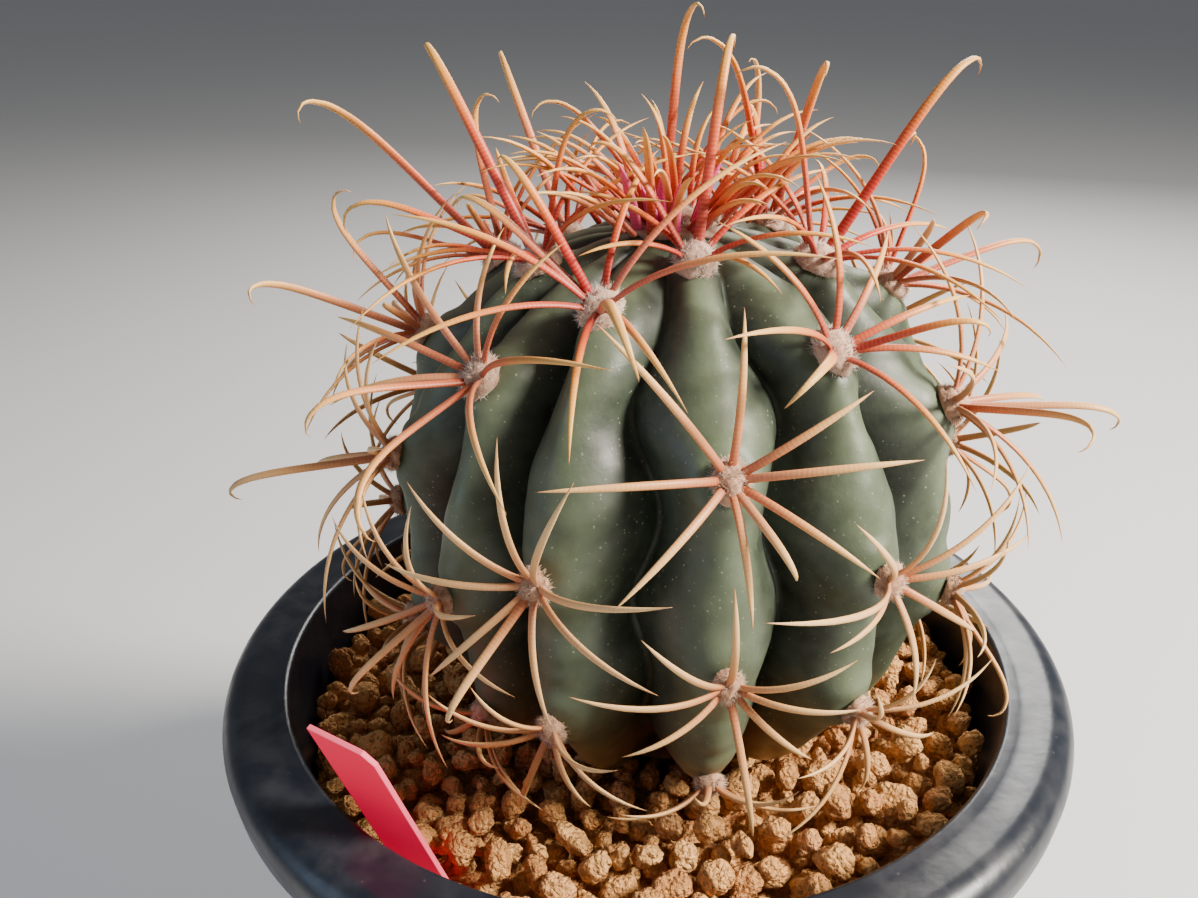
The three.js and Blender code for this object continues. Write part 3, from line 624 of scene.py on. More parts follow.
# %% [markdown]
# ## The skin's finish
#
# The skin is a waxy grey-green, sage on the crests and corky tan where the oldest flesh
# meets the soil. Towards the grooves it darkens to near black, which is painted shade in
# the folds. Tiny pale scars and mineral specks sit on it. The colour follows two numbers
# that we stored at each point, the share of the way into the groove and the height, so it
# stays with the shape.

# %% Skin material
def make_skin_material():
    material, tree, shader = new_material("cactus_skin", 0.5, Specular_IOR_Level=0.48)
    groove = add_range(tree, read_value(tree, "groove"), 0.08, 0.8)
    tone = slow_tone(tree, 0.02)
    fine_tone = slow_tone(tree, 0.0025)
    crest = add_mix(tree, tone, (0.058, 0.080, 0.044, 1), (0.108, 0.136, 0.076, 1))
    # Painted shade: the grooves and the flanks next to them darken to near black, as the folds lie in
    # shadow
    painted_groove_shade = add_mix(tree, tone, (0.006, 0.010, 0.006, 1), (0.012, 0.019, 0.011, 1))
    flesh = add_mix(tree, groove, crest, painted_groove_shade)
    mottled = paint_over(tree, flesh, fine_tone, 0.12, (0.15, 0.18, 0.11, 1))
    # Wax lies thicker in some places and turns the green paler and bluer
    bloom = slow_tone(tree, 0.0075, 0.0, 0.17)
    mottled = add_mix(tree, bloom, mottled, (0.17, 0.215, 0.155, 1))
    specks = place_group(tree, SPECKS, Size=0.00028, Spacing=0.0029)
    dots = place_group(tree, SPECKS, Size=0.00018, Spacing=0.0008)
    # The marks come in drifts, with clean skin between them
    drift = slow_tone(tree, 0.011, 0.04, 0.55)
    marks = add_math(tree, "MAXIMUM", specks, dots)
    marked = paint_over(tree, mottled, marks, drift, (0.42, 0.44, 0.32, 1))
    patchy = add_range(tree, tone, 0.0, 0.9, 0.6, 1.0)
    corky = multiply(tree, read_value(tree, "corky"), patchy)
    bark = add_mix(tree, fine_tone, (0.30, 0.19, 0.075, 1), (0.44, 0.33, 0.15, 1))
    # Painted shade: the cork darkens into the grooves as well
    bark = add_mix(tree, groove, bark, (0.20, 0.075, 0.028, 1))
    tree.links.new(add_mix(tree, corky, marked, bark), shader.inputs["Base Color"])
    rough = slow_tone(tree, 0.009, 0.42, 0.56)
    tree.links.new(rough, shader.inputs["Roughness"])
    grain = slow_tone(tree, 0.0009)
    add_bump(tree, shader, grain, strength=0.1, distance=0.00015)
    return material


SKIN_MATERIAL = make_skin_material()
print("material:", SKIN_MATERIAL.name)

# %% The stem
CORK_TOP = 17
CORK_FADE = 0.85


def make_stem():
    sides = skin_sides
    azimuths = skin_angles()[0][0]
    foot_levels = [
        (NECK_TOP_RADIUS + 3, SOIL_TOP - 0.6),
        (NECK_TOP_RADIUS, SOIL_TOP - 3),
        (NECK_RADIUS, SOIL_TOP - NECK_DEPTH),
    ]
    below = [stem_place(azimuths, np.full(sides, radius), height) for radius, height in foot_levels]
    centre = np.array([[STEM_X, STEM_Y, SOIL_TOP - NECK_DEPTH], [STEM_X, STEM_Y, CROWN_TOP]])
    places = np.concatenate([*reversed(below), skin, centre])
    rings = len(below) + SKIN_ROWS
    groove = np.concatenate([np.ones(len(below) * sides), skin_away, [1, 1]])
    corky = np.clip(1 - (places[:, 2] - SOIL_TOP) / CORK_TOP, 0, 1)
    faces = closed_faces(rings, sides)
    stem = new_piece("cactus_stem", places, faces, [SKIN_MATERIAL], ["stem"])
    store_values(stem, "groove", groove)
    store_values(stem, "corky", corky ** CORK_FADE)
    return stem


stem = make_stem()
print("faces of the stem:", len(stem.data.polygons))

# %% [markdown]
# ## How a spine grows
#
# Every areole has five to eight radial spines that lie flat like the ribs of an umbrella,
# and up to three centrals that stand up and end in a hook. Each spine is a line that starts
# in the wool at a given clock direction, with a given lift over the skin, and bends on its
# way: evenly for a radial, and almost only at the tip for a hook.
#
# Curves with a bevel would be a quick way to draw them, but they give round wires. Real
# spines are flattened and keep their width for most of their length before they taper, so
# we sweep our own section along the line.

# %% Driving dimensions of the spines
PAD_LENGTH = 3.1
PAD_HEIGHT = 1.9
ROOT_LEVEL = 0.45
SPINE_RADIUS = 0.52
HOOK_RADIUS = 0.54
HOOK_STOUTNESS = 0.2
SHORT_HOOK = 18
LONG_HOOK = 42
SPINE_LIFT = 44
SPINE_BEND = -58
SPINE_STRETCH = 1.04
HOOK_BEND = -155
HOOK_SHARPNESS = 6
ROOT_OFFSET = 1.1
SPINE_TAPER = 4
HOOK_TAPER = 5.5
SECTION_SWELL = 1.2
FINE_STEPS = 40
RADIAL_STOPS = [0, 20, 40]
HOOK_STOPS = [0, 20, 31, 36, 40]


def spine_line(areole, clock, lift, length, kind):
    """The points and headings of a spine's middle line, and the direction across it."""
    turn = math.radians(clock)
    along = areole["upward"] * math.cos(turn) + areole["side"] * math.sin(turn)
    steps = (np.arange(FINE_STEPS + 1) + 0.5) / FINE_STEPS
    angles = np.radians(lift + kind["bend"] * steps ** kind["sharpness"])
    headings = np.cos(angles)[:, None] * along + np.sin(angles)[:, None] * areole["normal"]
    root = areole["centre"] + areole["normal"] * (GAP + PAD_HEIGHT * ROOT_LEVEL) + along * ROOT_OFFSET
    travelled = np.cumsum(headings[:-1], axis=0) * (length / FINE_STEPS)
    places = np.concatenate([[root], root + travelled])
    across = np.cross(areole["normal"], along)
    longness = min(max((length - SHORT_HOOK) / (LONG_HOOK - SHORT_HOOK), 0), 1)
    radius = kind["radius"] + kind["stoutness"] * longness
    line = {"places": places, "headings": headings, "across": across, "length": length}
    return {**kind, **line, "radius": radius}


def taper(kind, share):
    return 1 - share ** kind["taper"]


RADIAL = {
    "bend": SPINE_BEND, "sharpness": 1, "radius": SPINE_RADIUS, "stoutness": 0, "taper": SPINE_TAPER,
    "stops": RADIAL_STOPS,
}
HOOK = {
    "bend": HOOK_BEND, "sharpness": HOOK_SHARPNESS, "radius": HOOK_RADIUS, "stoutness": HOOK_STOUTNESS,
    "taper": HOOK_TAPER, "stops": HOOK_STOPS,
}
print("a hook turns by", -HOOK_BEND, "degrees on its way")

# %% [markdown]
# ## Which spines each areole has
#
# The areoles that face us were read from the plant one spine at a time: a clock direction
# and a length for each radial, and a lift as well for each hook. The others grow by a rule
# with seeded draws, with long spines near the crown and short ones near the soil.

# %% Spines of the areoles that face the front
RADIALS_SEEN = {
    "0_0": [(-54, 20), (114, 24), (158, 20), (60, 26), (-110, 18)],
    "0_1": [(5, 21), (-40, 26), (60, 20), (87, 23), (128, 21), (178, 18), (-132, 22), (-90, 25)],
    "0_2": [(-3, 19), (-42, 19), (-73, 23), (-114, 16), (171, 23), (132, 15), (93, 17), (63, 17)],
    "1_0": [(-39, 23), (6, 23), (50, 20), (90, 22), (123, 22), (178, 26), (-87, 26)],
    "1_1": [(-42, 21), (-6, 23), (52, 24), (82, 22), (129, 17), (178, 17), (-111, 16), (-72, 34)],
    "11_0": [(-57, 29), (-12, 20), (25, 22), (-93, 27), (-126, 23), (119, 30), (79, 31)],
    "12_0": [(-100, 30), (-125, 31), (3, 28), (30, 33), (81, 33), (162, 30), (134, 31)],
    "12_1": [(-10, 23), (27, 24), (-48, 21), (-87, 20), (-138, 20), (162, 18), (108, 22), (75, 23)],
    "12_2": [(-30, 15), (-60, 18), (-99, 17), (-165, 24), (153, 13), (106, 17), (60, 18)],
}
HOOKS_SEEN = {
    "0_0": [(20, 62, 37), (-60, 55, 24)],
    "0_1": [(155, 45, 17)],
    "0_2": [],
    "1_0": [(126, 58, 22), (-112, 42, 32)],
    "1_1": [],
    "2_0": [(108, 72, 42), (96, 52, 31), (-20, 60, 34)],
    "2_1": [(144, 64, 28), (-108, 62, 28)],
    "3_0": [(160, 55, 33), (24, 68, 26), (-75, 50, 28)],
    "4_0": [(-50, 64, 34), (100, 55, 30), (10, 60, 36)],
    "6_0": [(-12, 65, 39), (80, 52, 30), (-90, 55, 28)],
    "7_0": [(32, 66, 38), (-70, 52, 28), (150, 50, 30)],
    "8_0": [(90, 68, 46), (20, 58, 32), (150, 48, 28)],
    "9_0": [(98, 66, 34), (24, 68, 30)],
    "10_0": [(-86, 68, 43), (-148, 50, 34), (40, 58, 30)],
    "10_1": [(-142, 66, 31)],
    "11_0": [(-165, 58, 28), (151, 42, 36)],
    "12_0": [(-60, 62, 27), (-80, 48, 27), (142, 38, 40)],
    "12_1": [(-160, 52, 23)],
    "12_2": [],
}
print("areoles read by eye:", len(HOOKS_SEEN))

# %% Spines by rule for the rest
YOUNGEST_OVER = 75
YOUNG_ABOVE = 58
OLD_BELOW = 20
RADIALS = 8
OLD_RADIALS = 7
YOUNG_LENGTH = 28
OLD_LENGTH = 17
YOUNG_HOOKS = [
    ((-25, 25), (58, 68), (32, 40)),
    ((-95, -60), (50, 60), (25, 31)),
    ((120, 200), (48, 58), (25, 32)),
]
MIDDLE_HOOKS = [((150, 210), (48, 56), (18, 24))]
BUNCH_SEED = 20
START_SPREAD = (-12, 12)
CLOCK_SPREAD = (-9, 9)
LENGTH_SPREAD = (0.85, 1.15)


def grown_spines(over, draw):
    age = min(max(1 - over / YOUNGEST_OVER, 0), 1)
    count = OLD_RADIALS if over < OLD_BELOW else RADIALS
    start = draw(*START_SPREAD)
    radials = []
    for i in range(count):
        clock = start + 360 * (i + 0.5) / count + draw(*CLOCK_SPREAD)
        length = YOUNG_LENGTH + (OLD_LENGTH - YOUNG_LENGTH) * age
        radials.append((clock, length * draw(*LENGTH_SPREAD)))
    kinds = []
    if over > OLD_BELOW:
        kinds = MIDDLE_HOOKS
    if over > YOUNG_ABOVE:
        kinds = YOUNG_HOOKS
    hooks = [tuple(draw(*limits) for limits in kind) for kind in kinds]
    return radials, hooks


def wanted_spines():
    """Radials and hooks wanted by each areole, those listed first."""
    draw = seeded_draw(BUNCH_SEED)
    wanted = {}
    for key, areole in AREOLES.items():
        radials, hooks = grown_spines(areole["over"], draw)
        wanted[key] = (RADIALS_SEEN.get(key, radials), HOOKS_SEEN.get(key, hooks))
    return dict(sorted(wanted.items(), key=lambda item: item[0] not in HOOKS_SEEN))


WANTED = wanted_spines()
print("spines wanted:", sum(len(radials) + len(hooks) for radials, hooks in WANTED.values()))

# %% [markdown]
# ## Keeping the spines apart
#
# Forty-one bunches of spines in a space the size of a grapefruit would run through each
# other. On the plant they slip past one another as they grow. We do the same: a spine is
# tried at its wanted place, and when it would touch a neighbour, the skin, the gravel, the
# pot or the label, it is turned, lifted or shortened a little until it is clear. The solid
# part uses the same rule with the same seeds, so both have the same spines.

# %% Distances
SPINE_CLEARANCE = 0.4
SKIN_CLEARANCE = 0.5
ROOT_REACH = 3.5
HOOK_SLACK = 6
MOUTH_RADIUS = 63.5
STONE_HEIGHT = 3.4
LABEL_LEFT = np.array([-40.1, -41.6, SOIL_TOP])
LABEL_RIGHT = np.array([-29.8, -47.8, SOIL_TOP])
LABEL_RISE = np.array([-5.7, -9.1, 30.0])
LABEL_THICKNESS = 0.8
LABEL_ACROSS = LABEL_RIGHT - LABEL_LEFT
LABEL_WIDTH = float(np.linalg.norm(LABEL_ACROSS))
LABEL_FACE = unit(np.cross(LABEL_ACROSS, LABEL_RISE))
PARALLEL = 1e-9


def segment_gaps(a, b, c, d):
    """Least distances between the lines a-b and c-d, for arrays of end points."""
    u, v, w = b - a, d - c, a - c
    uu, uv, vv = (u * u).sum(-1), (u * v).sum(-1), (v * v).sum(-1)
    uw, vw = (u * w).sum(-1), (v * w).sum(-1)
    det = uu * vv - uv * uv
    s = np.clip((uv * vw - vv * uw) / np.maximum(det, PARALLEL), 0, 1)
    s = np.where(det > PARALLEL, s, 0)
    t = np.clip((uv * s + vw) / vv, 0, 1)
    s = np.clip((uv * t - uw) / uu, 0, 1)
    return np.linalg.norm(w + u * s[..., None] - v * t[..., None], axis=-1)


def off_label(places, room):
    """True for each place that is beside the label or far enough from its faces."""
    offset = places - (LABEL_LEFT + LABEL_RIGHT) / 2
    beside = np.abs(offset @ LABEL_ACROSS) / LABEL_WIDTH > LABEL_WIDTH / 2 + room
    before = np.abs(offset @ LABEL_FACE) > LABEL_THICKNESS / 2 + room
    return beside | before


def clear_of_place(places, reaches):
    """True if no place is in the stem, the gravel, the pot's rim or the label."""
    room = reaches + SKIN_CLEARANCE
    x, y, z = places.T
    azimuth = np.degrees(np.arctan2(x - STEM_X, STEM_Y - y))
    from_axis = np.hypot(x - STEM_X, y - STEM_Y)
    over_crown = z > CROWN_TOP + TUBERCLE / 2 + reaches
    in_stem = ~over_crown & (from_axis < stem_radius(azimuth, z) + room)
    in_gravel = z < SOIL_TOP + STONE_HEIGHT + room
    in_rim = (np.hypot(x, y) > MOUTH_RADIUS - room - GAP) & (z < POT_HEIGHT + room)
    in_label = ~off_label(places, room) & (z - SOIL_TOP <= LABEL_RISE[2] + room)
    return not (in_stem | in_gravel | in_rim | in_label).any()


print("label width in mm:", round(LABEL_WIDTH, 1))

# %% The room that is taken
TEST_SHARES = np.array([0.25, 0.5, 0.75, 1])


def wool_room(owner, areole):
    """The room that an areole's wool takes up, written like that of a spine."""
    foot = areole["centre"]
    return {
        "owner": owner,
        "starts": foot[None],
        "ends": (foot + areole["normal"] * PAD_HEIGHT)[None],
        "reaches": np.array([PAD_LENGTH]),
        "middle": tuple(foot),
        "spread": math.inf,
    }


def spine_room(owner, line):
    """The straight parts that stand for a spine, with how far each reaches sideways."""
    places = line["places"][line["stops"]]
    shares = np.array(line["stops"]) / FINE_STEPS
    return {
        "owner": owner,
        "starts": places[:-1],
        "ends": places[1:],
        "reaches": (SECTION_SWELL * line["radius"] * taper(line, shares))[:-1],
        "middle": tuple((places[0] + places[-1]) / 2),
        "spread": np.linalg.norm(places[0] - places[-1]) / 2 + HOOK_SLACK,
    }


def clear_of_surroundings(room):
    steps = (room["ends"] - room["starts"]) * TEST_SHARES[:, None, None]
    travelled = (room["starts"] + steps).reshape(-1, 3)
    reaches = np.tile(room["reaches"], len(TEST_SHARES))
    grown_out = np.linalg.norm(travelled - room["starts"][0], axis=1) > ROOT_REACH
    return clear_of_place(travelled[grown_out], reaches[grown_out])


def clear_of_others(room):
    """True if the room is clear of the wool and the spines of all other areoles."""
    near = []
    for one in STANDING:
        within = one["spread"] + room["spread"]
        if one["owner"] != room["owner"] and math.dist(one["middle"], room["middle"]) <= within:
            near.append(one)
    starts, ends, reaches = (
        np.concatenate([one[key] for one in near]) for key in ("starts", "ends", "reaches")
    )
    space = segment_gaps(room["starts"][:, None], room["ends"][:, None], starts, ends)
    return not (space < room["reaches"][:, None] + reaches + SPINE_CLEARANCE).any()


STANDING = [wool_room(key, areole) for key, areole in AREOLES.items()]
print("rooms taken by wool:", len(STANDING))

# %% Nudge a spine until it is clear
CLOCK_NUDGE = 6
LIFT_NUDGE = 7
SCALE_NUDGE = 0.12
SCALE_COST = 1.5
TURN_TIE = 0.01
LIFT_TIE = 0.001


def nudge_cost(nudge):
    clock, lift, scale = nudge
    turned = abs(clock) / CLOCK_NUDGE + abs(lift) / LIFT_NUDGE
    shortened = SCALE_COST * (1 - scale) / SCALE_NUDGE
    tie_break = TURN_TIE * (clock < 0) + LIFT_TIE * (lift < 0)
    return turned + shortened + tie_break


NUDGES = sorted(
    [
        (clocks * CLOCK_NUDGE, lifts * LIFT_NUDGE, 1 - shorter * SCALE_NUDGE)
        for shorter in (0, 1, 2, 3)
        for lifts in (0, 1, -1, 2, 3)
        for clocks in (0, 1, -1, 2, -2, 3, -3)
    ],
    key=nudge_cost,
)


def clear_spine(owner, areole, wanted, kind):
    """The wanted spine, nudged until it is clear, or None."""
    clock, lift, length = wanted
    for turn, raise_by, scale in NUDGES:
        line = spine_line(areole, clock + turn, lift + raise_by, length * scale, kind)
        room = spine_room(owner, line)
        if clear_of_surroundings(room) and clear_of_others(room):
            STANDING.append(room)
            return line
    return None


def grow(owner, wants):
    """The spines that find room, where each is wanted by its areole, form and kind."""
    grown = [clear_spine(owner, *want) for want in wants]
    return [line for line in grown if line]


print("nudges to try:", len(NUDGES))

# %% Grow the spines of every areole
def grow_bunch(key):
    areole = AREOLES[key]
    radials, hooks = WANTED[key]
    wants = [(areole, hook, HOOK) for hook in hooks]
    for clock, length in radials:
        wants.append((areole, (clock, SPINE_LIFT, SPINE_STRETCH * length), RADIAL))
    return grow(key, wants)


BUNCHES = {key: grow_bunch(key) for key in WANTED}
print("spines grown:", sum(len(bunch) for bunch in BUNCHES.values()))

# %% [markdown]
# ## The young spines on the crown
#
# New areoles form at the growing tip, packed so tightly that their wool runs together.
# Their spines stand almost upright and open outwards like a fan. We turn each one by the
# golden angle from the last, as the plant itself does, which spreads them evenly.

# %% Grow the crown
CROWN_RADIUS = 8.5
CROWN_HEIGHT = 3.2
YOUNG_SPINES = 28
YOUNG_RADIUS = 0.55
YOUNG_RING = 0.75
YOUNG_TURN = 137.5
YOUNG_REACH = 13
YOUNG_LIFT = 86
YOUNG_LEAN = 46
YOUNG_BEND = -65
YOUNG_SHARPNESS = 2
YOUNG_CLOCKS = (-20, 20)
YOUNG_LENGTHS = (13, 17)
CROWN_SEED = 7
YOUNG = {
    "bend": YOUNG_BEND, "sharpness": YOUNG_SHARPNESS, "radius": YOUNG_RADIUS, "stoutness": 0,
    "taper": SPINE_TAPER, "stops": RADIAL_STOPS,
}
CROWN_FOOT = np.array([STEM_X, STEM_Y, CROWN_TOP + GAP])


def crown_root(degrees, share):
    """A root for a young spine, with its directions, at a share of the way out."""
    turn = math.radians(degrees)
    upward = np.array([math.cos(turn), math.sin(turn), 0])
    normal = np.array([0, 0, 1.0])
    centre = CROWN_FOOT + upward * share * CROWN_RADIUS * YOUNG_RING
    return {"centre": centre, "upward": upward, "side": np.cross(normal, upward), "normal": normal}


def grow_crown():
    draw = seeded_draw(CROWN_SEED)
    wants = []
    for i in range(YOUNG_SPINES):
        share = math.sqrt((i + 0.5) / YOUNG_SPINES)
        lift = YOUNG_LIFT - YOUNG_LEAN * share
        form = (draw(*YOUNG_CLOCKS), lift, draw(*YOUNG_LENGTHS) + YOUNG_REACH * share)
        wants.append((crown_root(YOUNG_TURN * i, share), form, YOUNG))
    return grow("crown", wants)


CROWN_SPINES = grow_crown()
print("young spines:", len(CROWN_SPINES))

# %% [markdown]
# ## Filling the thicket at the tip
#
# The solid crown has as many spines as it can carry. On the plant more of them push up
# between its first areoles, and the very newest are soft flat blades in hot pink, which
# harden and redden later. They are only finish here: each one grows where the spines of
# the areoles leave it room.

# %% More young spines, and the newest blades
EXTRA_SEED = 41
EXTRA_YOUNG = 24
EXTRA_RADIUS = 0.62
EXTRA_TURNS = (-20, 20)
EXTRA_SHARES = (0.95, 1.75)
EXTRA_WANTED = [(-35, 35), (38, 66), (15, 25)]
BLADES = 7
BLADE_TURNS = (200, 300)
BLADE_SHARES = (0.5, 1.2)
BLADE_WANTED = [(-30, 30), (66, 86), (8, 13)]
BLADE = {**YOUNG, "bend": -16, "radius": 0.85, "fresh": 1}
EXTRA = {**YOUNG, "bend": -50, "radius": EXTRA_RADIUS}


def grow_extras():
    draw = seeded_draw(EXTRA_SEED)
    wants = []
    for _ in range(BLADES):
        place = crown_root(draw(*BLADE_TURNS), draw(*BLADE_SHARES))
        wants.append((place, [draw(*limits) for limits in BLADE_WANTED], BLADE))
    for i in range(EXTRA_YOUNG):
        place = crown_root(YOUNG_TURN * i + draw(*EXTRA_TURNS), draw(*EXTRA_SHARES))
        wants.append((place, [draw(*limits) for limits in EXTRA_WANTED], EXTRA))
    return grow("crown", wants)


EXTRA_SPINES = grow_extras()
blades = sum("fresh" in line for line in EXTRA_SPINES)
print("more young spines:", len(EXTRA_SPINES), "of them blades:", blades)

# %% [markdown]
# ## Spines as meshes
#
# A spine's section is a flat oval. Along the spine it keeps its width for two thirds of
# the length and then runs out to the tip. Its root lies deep in the wool. Its points will
# store five numbers for the material: the share of the length, the distance from the
# root, the spine's own tone and youth, and whether it is a fresh blade.

# %% Sweep a section along each line
SPINE_SIDES = 10
SPINE_WIDTH = 1.08
SPINE_THICKNESS = 0.66
ROOT_SWELL = 0.14
ROOT_SWELL_REACH = 0.06
ROOT_DEPTH = 0.5


def sweep_spine(line, steps):
    """Points, faces and shares of the length for one spine."""
    rings = np.unique(np.linspace(0, FINE_STEPS - 1, steps).round().astype(int))
    shares = rings / FINE_STEPS
    places, headings = line["places"][rings], line["headings"][rings]
    over = np.cross(headings, line["across"])
    size = line["radius"] * taper(line, shares) * (1 + ROOT_SWELL * np.exp(-shares / ROOT_SWELL_REACH))
    turns = 2 * np.pi * np.arange(SPINE_SIDES) / SPINE_SIDES
    width = (SPINE_WIDTH * size)[:, None] * np.cos(turns)
    thickness = (SPINE_THICKNESS * size)[:, None] * np.sin(turns)
    points = places[:, None] + width[..., None] * line["across"] + thickness[..., None] * over[:, None]
    root = places[0] - headings[0] * ROOT_DEPTH
    tip = line["places"][-1]
    flat = np.concatenate([points.reshape(-1, 3), [root, tip]])
    faces = closed_faces(len(rings), SPINE_SIDES)
    return flat, faces, np.concatenate([np.repeat(shares, SPINE_SIDES), [0, 1]])


RADIAL_RINGS = 17
HOOK_RINGS = 30
print("faces of a hook:", len(sweep_spine(BUNCHES["8_0"][0], HOOK_RINGS)[1]))

# %% [markdown]
# ## Wool
#
# The wool of an areole is a felt of short pale hairs, dense enough to hide the roots of
# the spines. Hair curves would be the usual tool, but they don't become part of the mesh.
# We make a low dome with an uneven top, and stand short closed needles all over it, which
# break up its outline as the real fibres do.

# %% A dome of felt
WOOL_WIDTH = 2.5
WOOL_LENGTH = 3.15
WOOL_RINGS = 9
WOOL_SIDES = 22
WOOL_UNEVEN = 0.11
WOOL_WAVES = (2.4, 1.0)
DOME_SPAN = (-12, 84)
DOME_FOOT = 0.25
WOOL_HEIGHT = 2.05
DOME_SHARE = 0.86


def from_areole(areole, local):
    """Places of points that are given in the areole's own frame."""
    axes = np.stack([areole["side"], areole["upward"], areole["normal"]])
    return areole["centre"] + areole["normal"] * GAP + local @ axes


def wool_dome(areole, width, length, height, seed):
    """A cushion in the areole's own frame, with its points uneven."""
    lifts = np.radians(np.linspace(*DOME_SPAN, WOOL_RINGS))
    turns = 2 * np.pi * np.arange(WOOL_SIDES) / WOOL_SIDES
    lift, turn = np.meshgrid(lifts, turns, indexing="ij")
    local = np.stack([
        DOME_SHARE * width * np.cos(lift) * np.cos(turn),
        DOME_SHARE * length * np.cos(lift) * np.sin(turn),
        height * np.sin(lift),
    ], axis=-1).reshape(-1, 3)
    local = np.concatenate([local, [[0, 0, -DOME_FOOT * height], [0, 0, height]]])
    local *= 1 + WOOL_UNEVEN * wavy(local, seed, *WOOL_WAVES)[:, None]
    return from_areole(areole, local), closed_faces(WOOL_RINGS, WOOL_SIDES)


print("points of a dome:", WOOL_RINGS * WOOL_SIDES + 2)

# %% Fibres all over the dome
FIBRE_RADIUS = 0.048
FIBRE_REACH = 1.7
FIBRE_SPREAD = 0.85
FIBRE_DEPTH = 0.9
FIBRE_RISES = (-0.05, 1.0)
FIBRE_LENGTHS = (0.4, 1.0)
FOOT_CORNERS = [90, 210, 330]
FIBRES_PER_PAD = 1050
FIBRE_SHARES = [0.3, 0.3, 0.3, 1.0]
FIBRE_POINTS = len(FIBRE_SHARES)


def wool_fibres(areole, width, length, height, count, reach, seed):
    """Short closed needles with a three-sided foot, standing all ways over a dome."""
    rng = np.random.default_rng(seed)
    turn = rng.uniform(0, 2 * np.pi, count)
    lift = np.arcsin(rng.uniform(*FIBRE_RISES, count))
    outward = np.stack([np.cos(lift) * np.cos(turn), np.cos(lift) * np.sin(turn), np.sin(lift)], axis=-1)
    foot = outward * np.array([DOME_SHARE * width, DOME_SHARE * length, height]) * FIBRE_DEPTH
    heading = unit(outward + rng.normal(scale=FIBRE_SPREAD, size=(count, 3)))
    across = unit(np.cross(heading, rng.normal(size=(count, 3))))
    beside = np.cross(heading, across)
    tips = foot + heading * (reach * rng.uniform(*FIBRE_LENGTHS, count))[:, None]
    turns = np.radians(FOOT_CORNERS)
    around = across[:, None] * np.cos(turns)[:, None] + beside[:, None] * np.sin(turns)[:, None]
    low = foot[:, None] + FIBRE_RADIUS * around
    local = np.concatenate([low, tips[:, None]], axis=1).reshape(-1, 3)
    one = [(0, 2, 1), (0, 1, 3), (1, 2, 3), (2, 0, 3)]
    starts = range(0, FIBRE_POINTS * count, FIBRE_POINTS)
    faces = [tuple(start + corner for corner in face) for start in starts for face in one]
    return from_areole(areole, local), faces


print("fibres on each areole:", FIBRES_PER_PAD)

# %% [markdown]
# ## The finish of the spines and the wool
#
# A new spine is crimson at the root, orange half-way and straw at its tip. With the years
# the red fades to tan and cream. Fine rings cross it, because it grew from its root in
# steps. The wool is cream with a blush of pink, and it greys and browns with age.

# %% Spine material
RING_SPACING = 0.62

# Colours from the root to the tip, each with its share of the length
OLD_HORN = [
    (0.0, (0.38, 0.09, 0.03)),
    (0.12, (0.54, 0.20, 0.07)),
    (0.45, (0.69, 0.36, 0.13)),
    (0.85, (0.76, 0.46, 0.19)),
    (1.0, (0.50, 0.22, 0.08)),
]
YOUNG_HORN = [
    (0.0, (0.30, 0.002, 0.008)),
    (0.2, (0.46, 0.010, 0.008)),
    (0.38, (0.62, 0.075, 0.012)),
    (0.58, (0.74, 0.25, 0.03)),
    (0.85, (0.80, 0.43, 0.09)),
    (1.0, (0.52, 0.20, 0.04)),
]


def make_spine_material():
    material, tree, shader = new_material("spine_horn", 0.42, Specular_IOR_Level=0.36)
    share = read_value(tree, "along")
    youth = read_value(tree, "youth")
    tone = read_value(tree, "tone")
    old = add_node(tree, "ShaderNodeValToRGB", Fac=share)
    set_ramp(old, OLD_HORN)
    young = add_node(tree, "ShaderNodeValToRGB", Fac=share)
    set_ramp(young, YOUNG_HORN)
    hardened = add_mix(tree, youth, old.outputs[0], young.outputs[0])
    blade = add_mix(tree, share, (0.56, 0.0, 0.15, 1), (0.80, 0.06, 0.30, 1))
    colour = add_mix(tree, read_value(tree, "fresh"), hardened, blade)
    shade = multiply(tree, add_math(tree, "SUBTRACT", tone, 0.5), 0.44)
    paler = add_math(tree, "MAXIMUM", shade, 0.0, clamp=True)
    toned = add_mix(tree, paler, colour, (0.86, 0.66, 0.36, 1))
    darker = add_math(tree, "MAXIMUM", multiply(tree, shade, -1.0), 0.0, clamp=True)
    toned = add_mix(tree, darker, toned, (0.34, 0.12, 0.07, 1))
    # Rings: the distance from the root, made a little uneven, as a wave
    place = add_node(tree, "ShaderNodeTexCoord")
    cloud = add_node(tree, "ShaderNodeTexNoise", values={"Scale": 900.0, "Detail": 2.0},
                     Vector=place.outputs["Object"])
    shift = multiply(tree, cloud.outputs["Fac"], 0.5)
    run = add_math(tree, "ADD", read_value(tree, "run"), shift)
    wave = add_math(tree, "SINE", multiply(tree, run, 2 * math.pi / RING_SPACING))
    band = add_range(tree, wave, -0.2, 1.0)
    ringed = paint_over(tree, toned, band, 0.07, (0.95, 0.72, 0.34, 1))
    tree.links.new(ringed, shader.inputs["Base Color"])
    add_bump(tree, shader, band, strength=0.14, distance=0.0001)
    return material


SPINE_MATERIAL = make_spine_material()
print("material:", SPINE_MATERIAL.name)

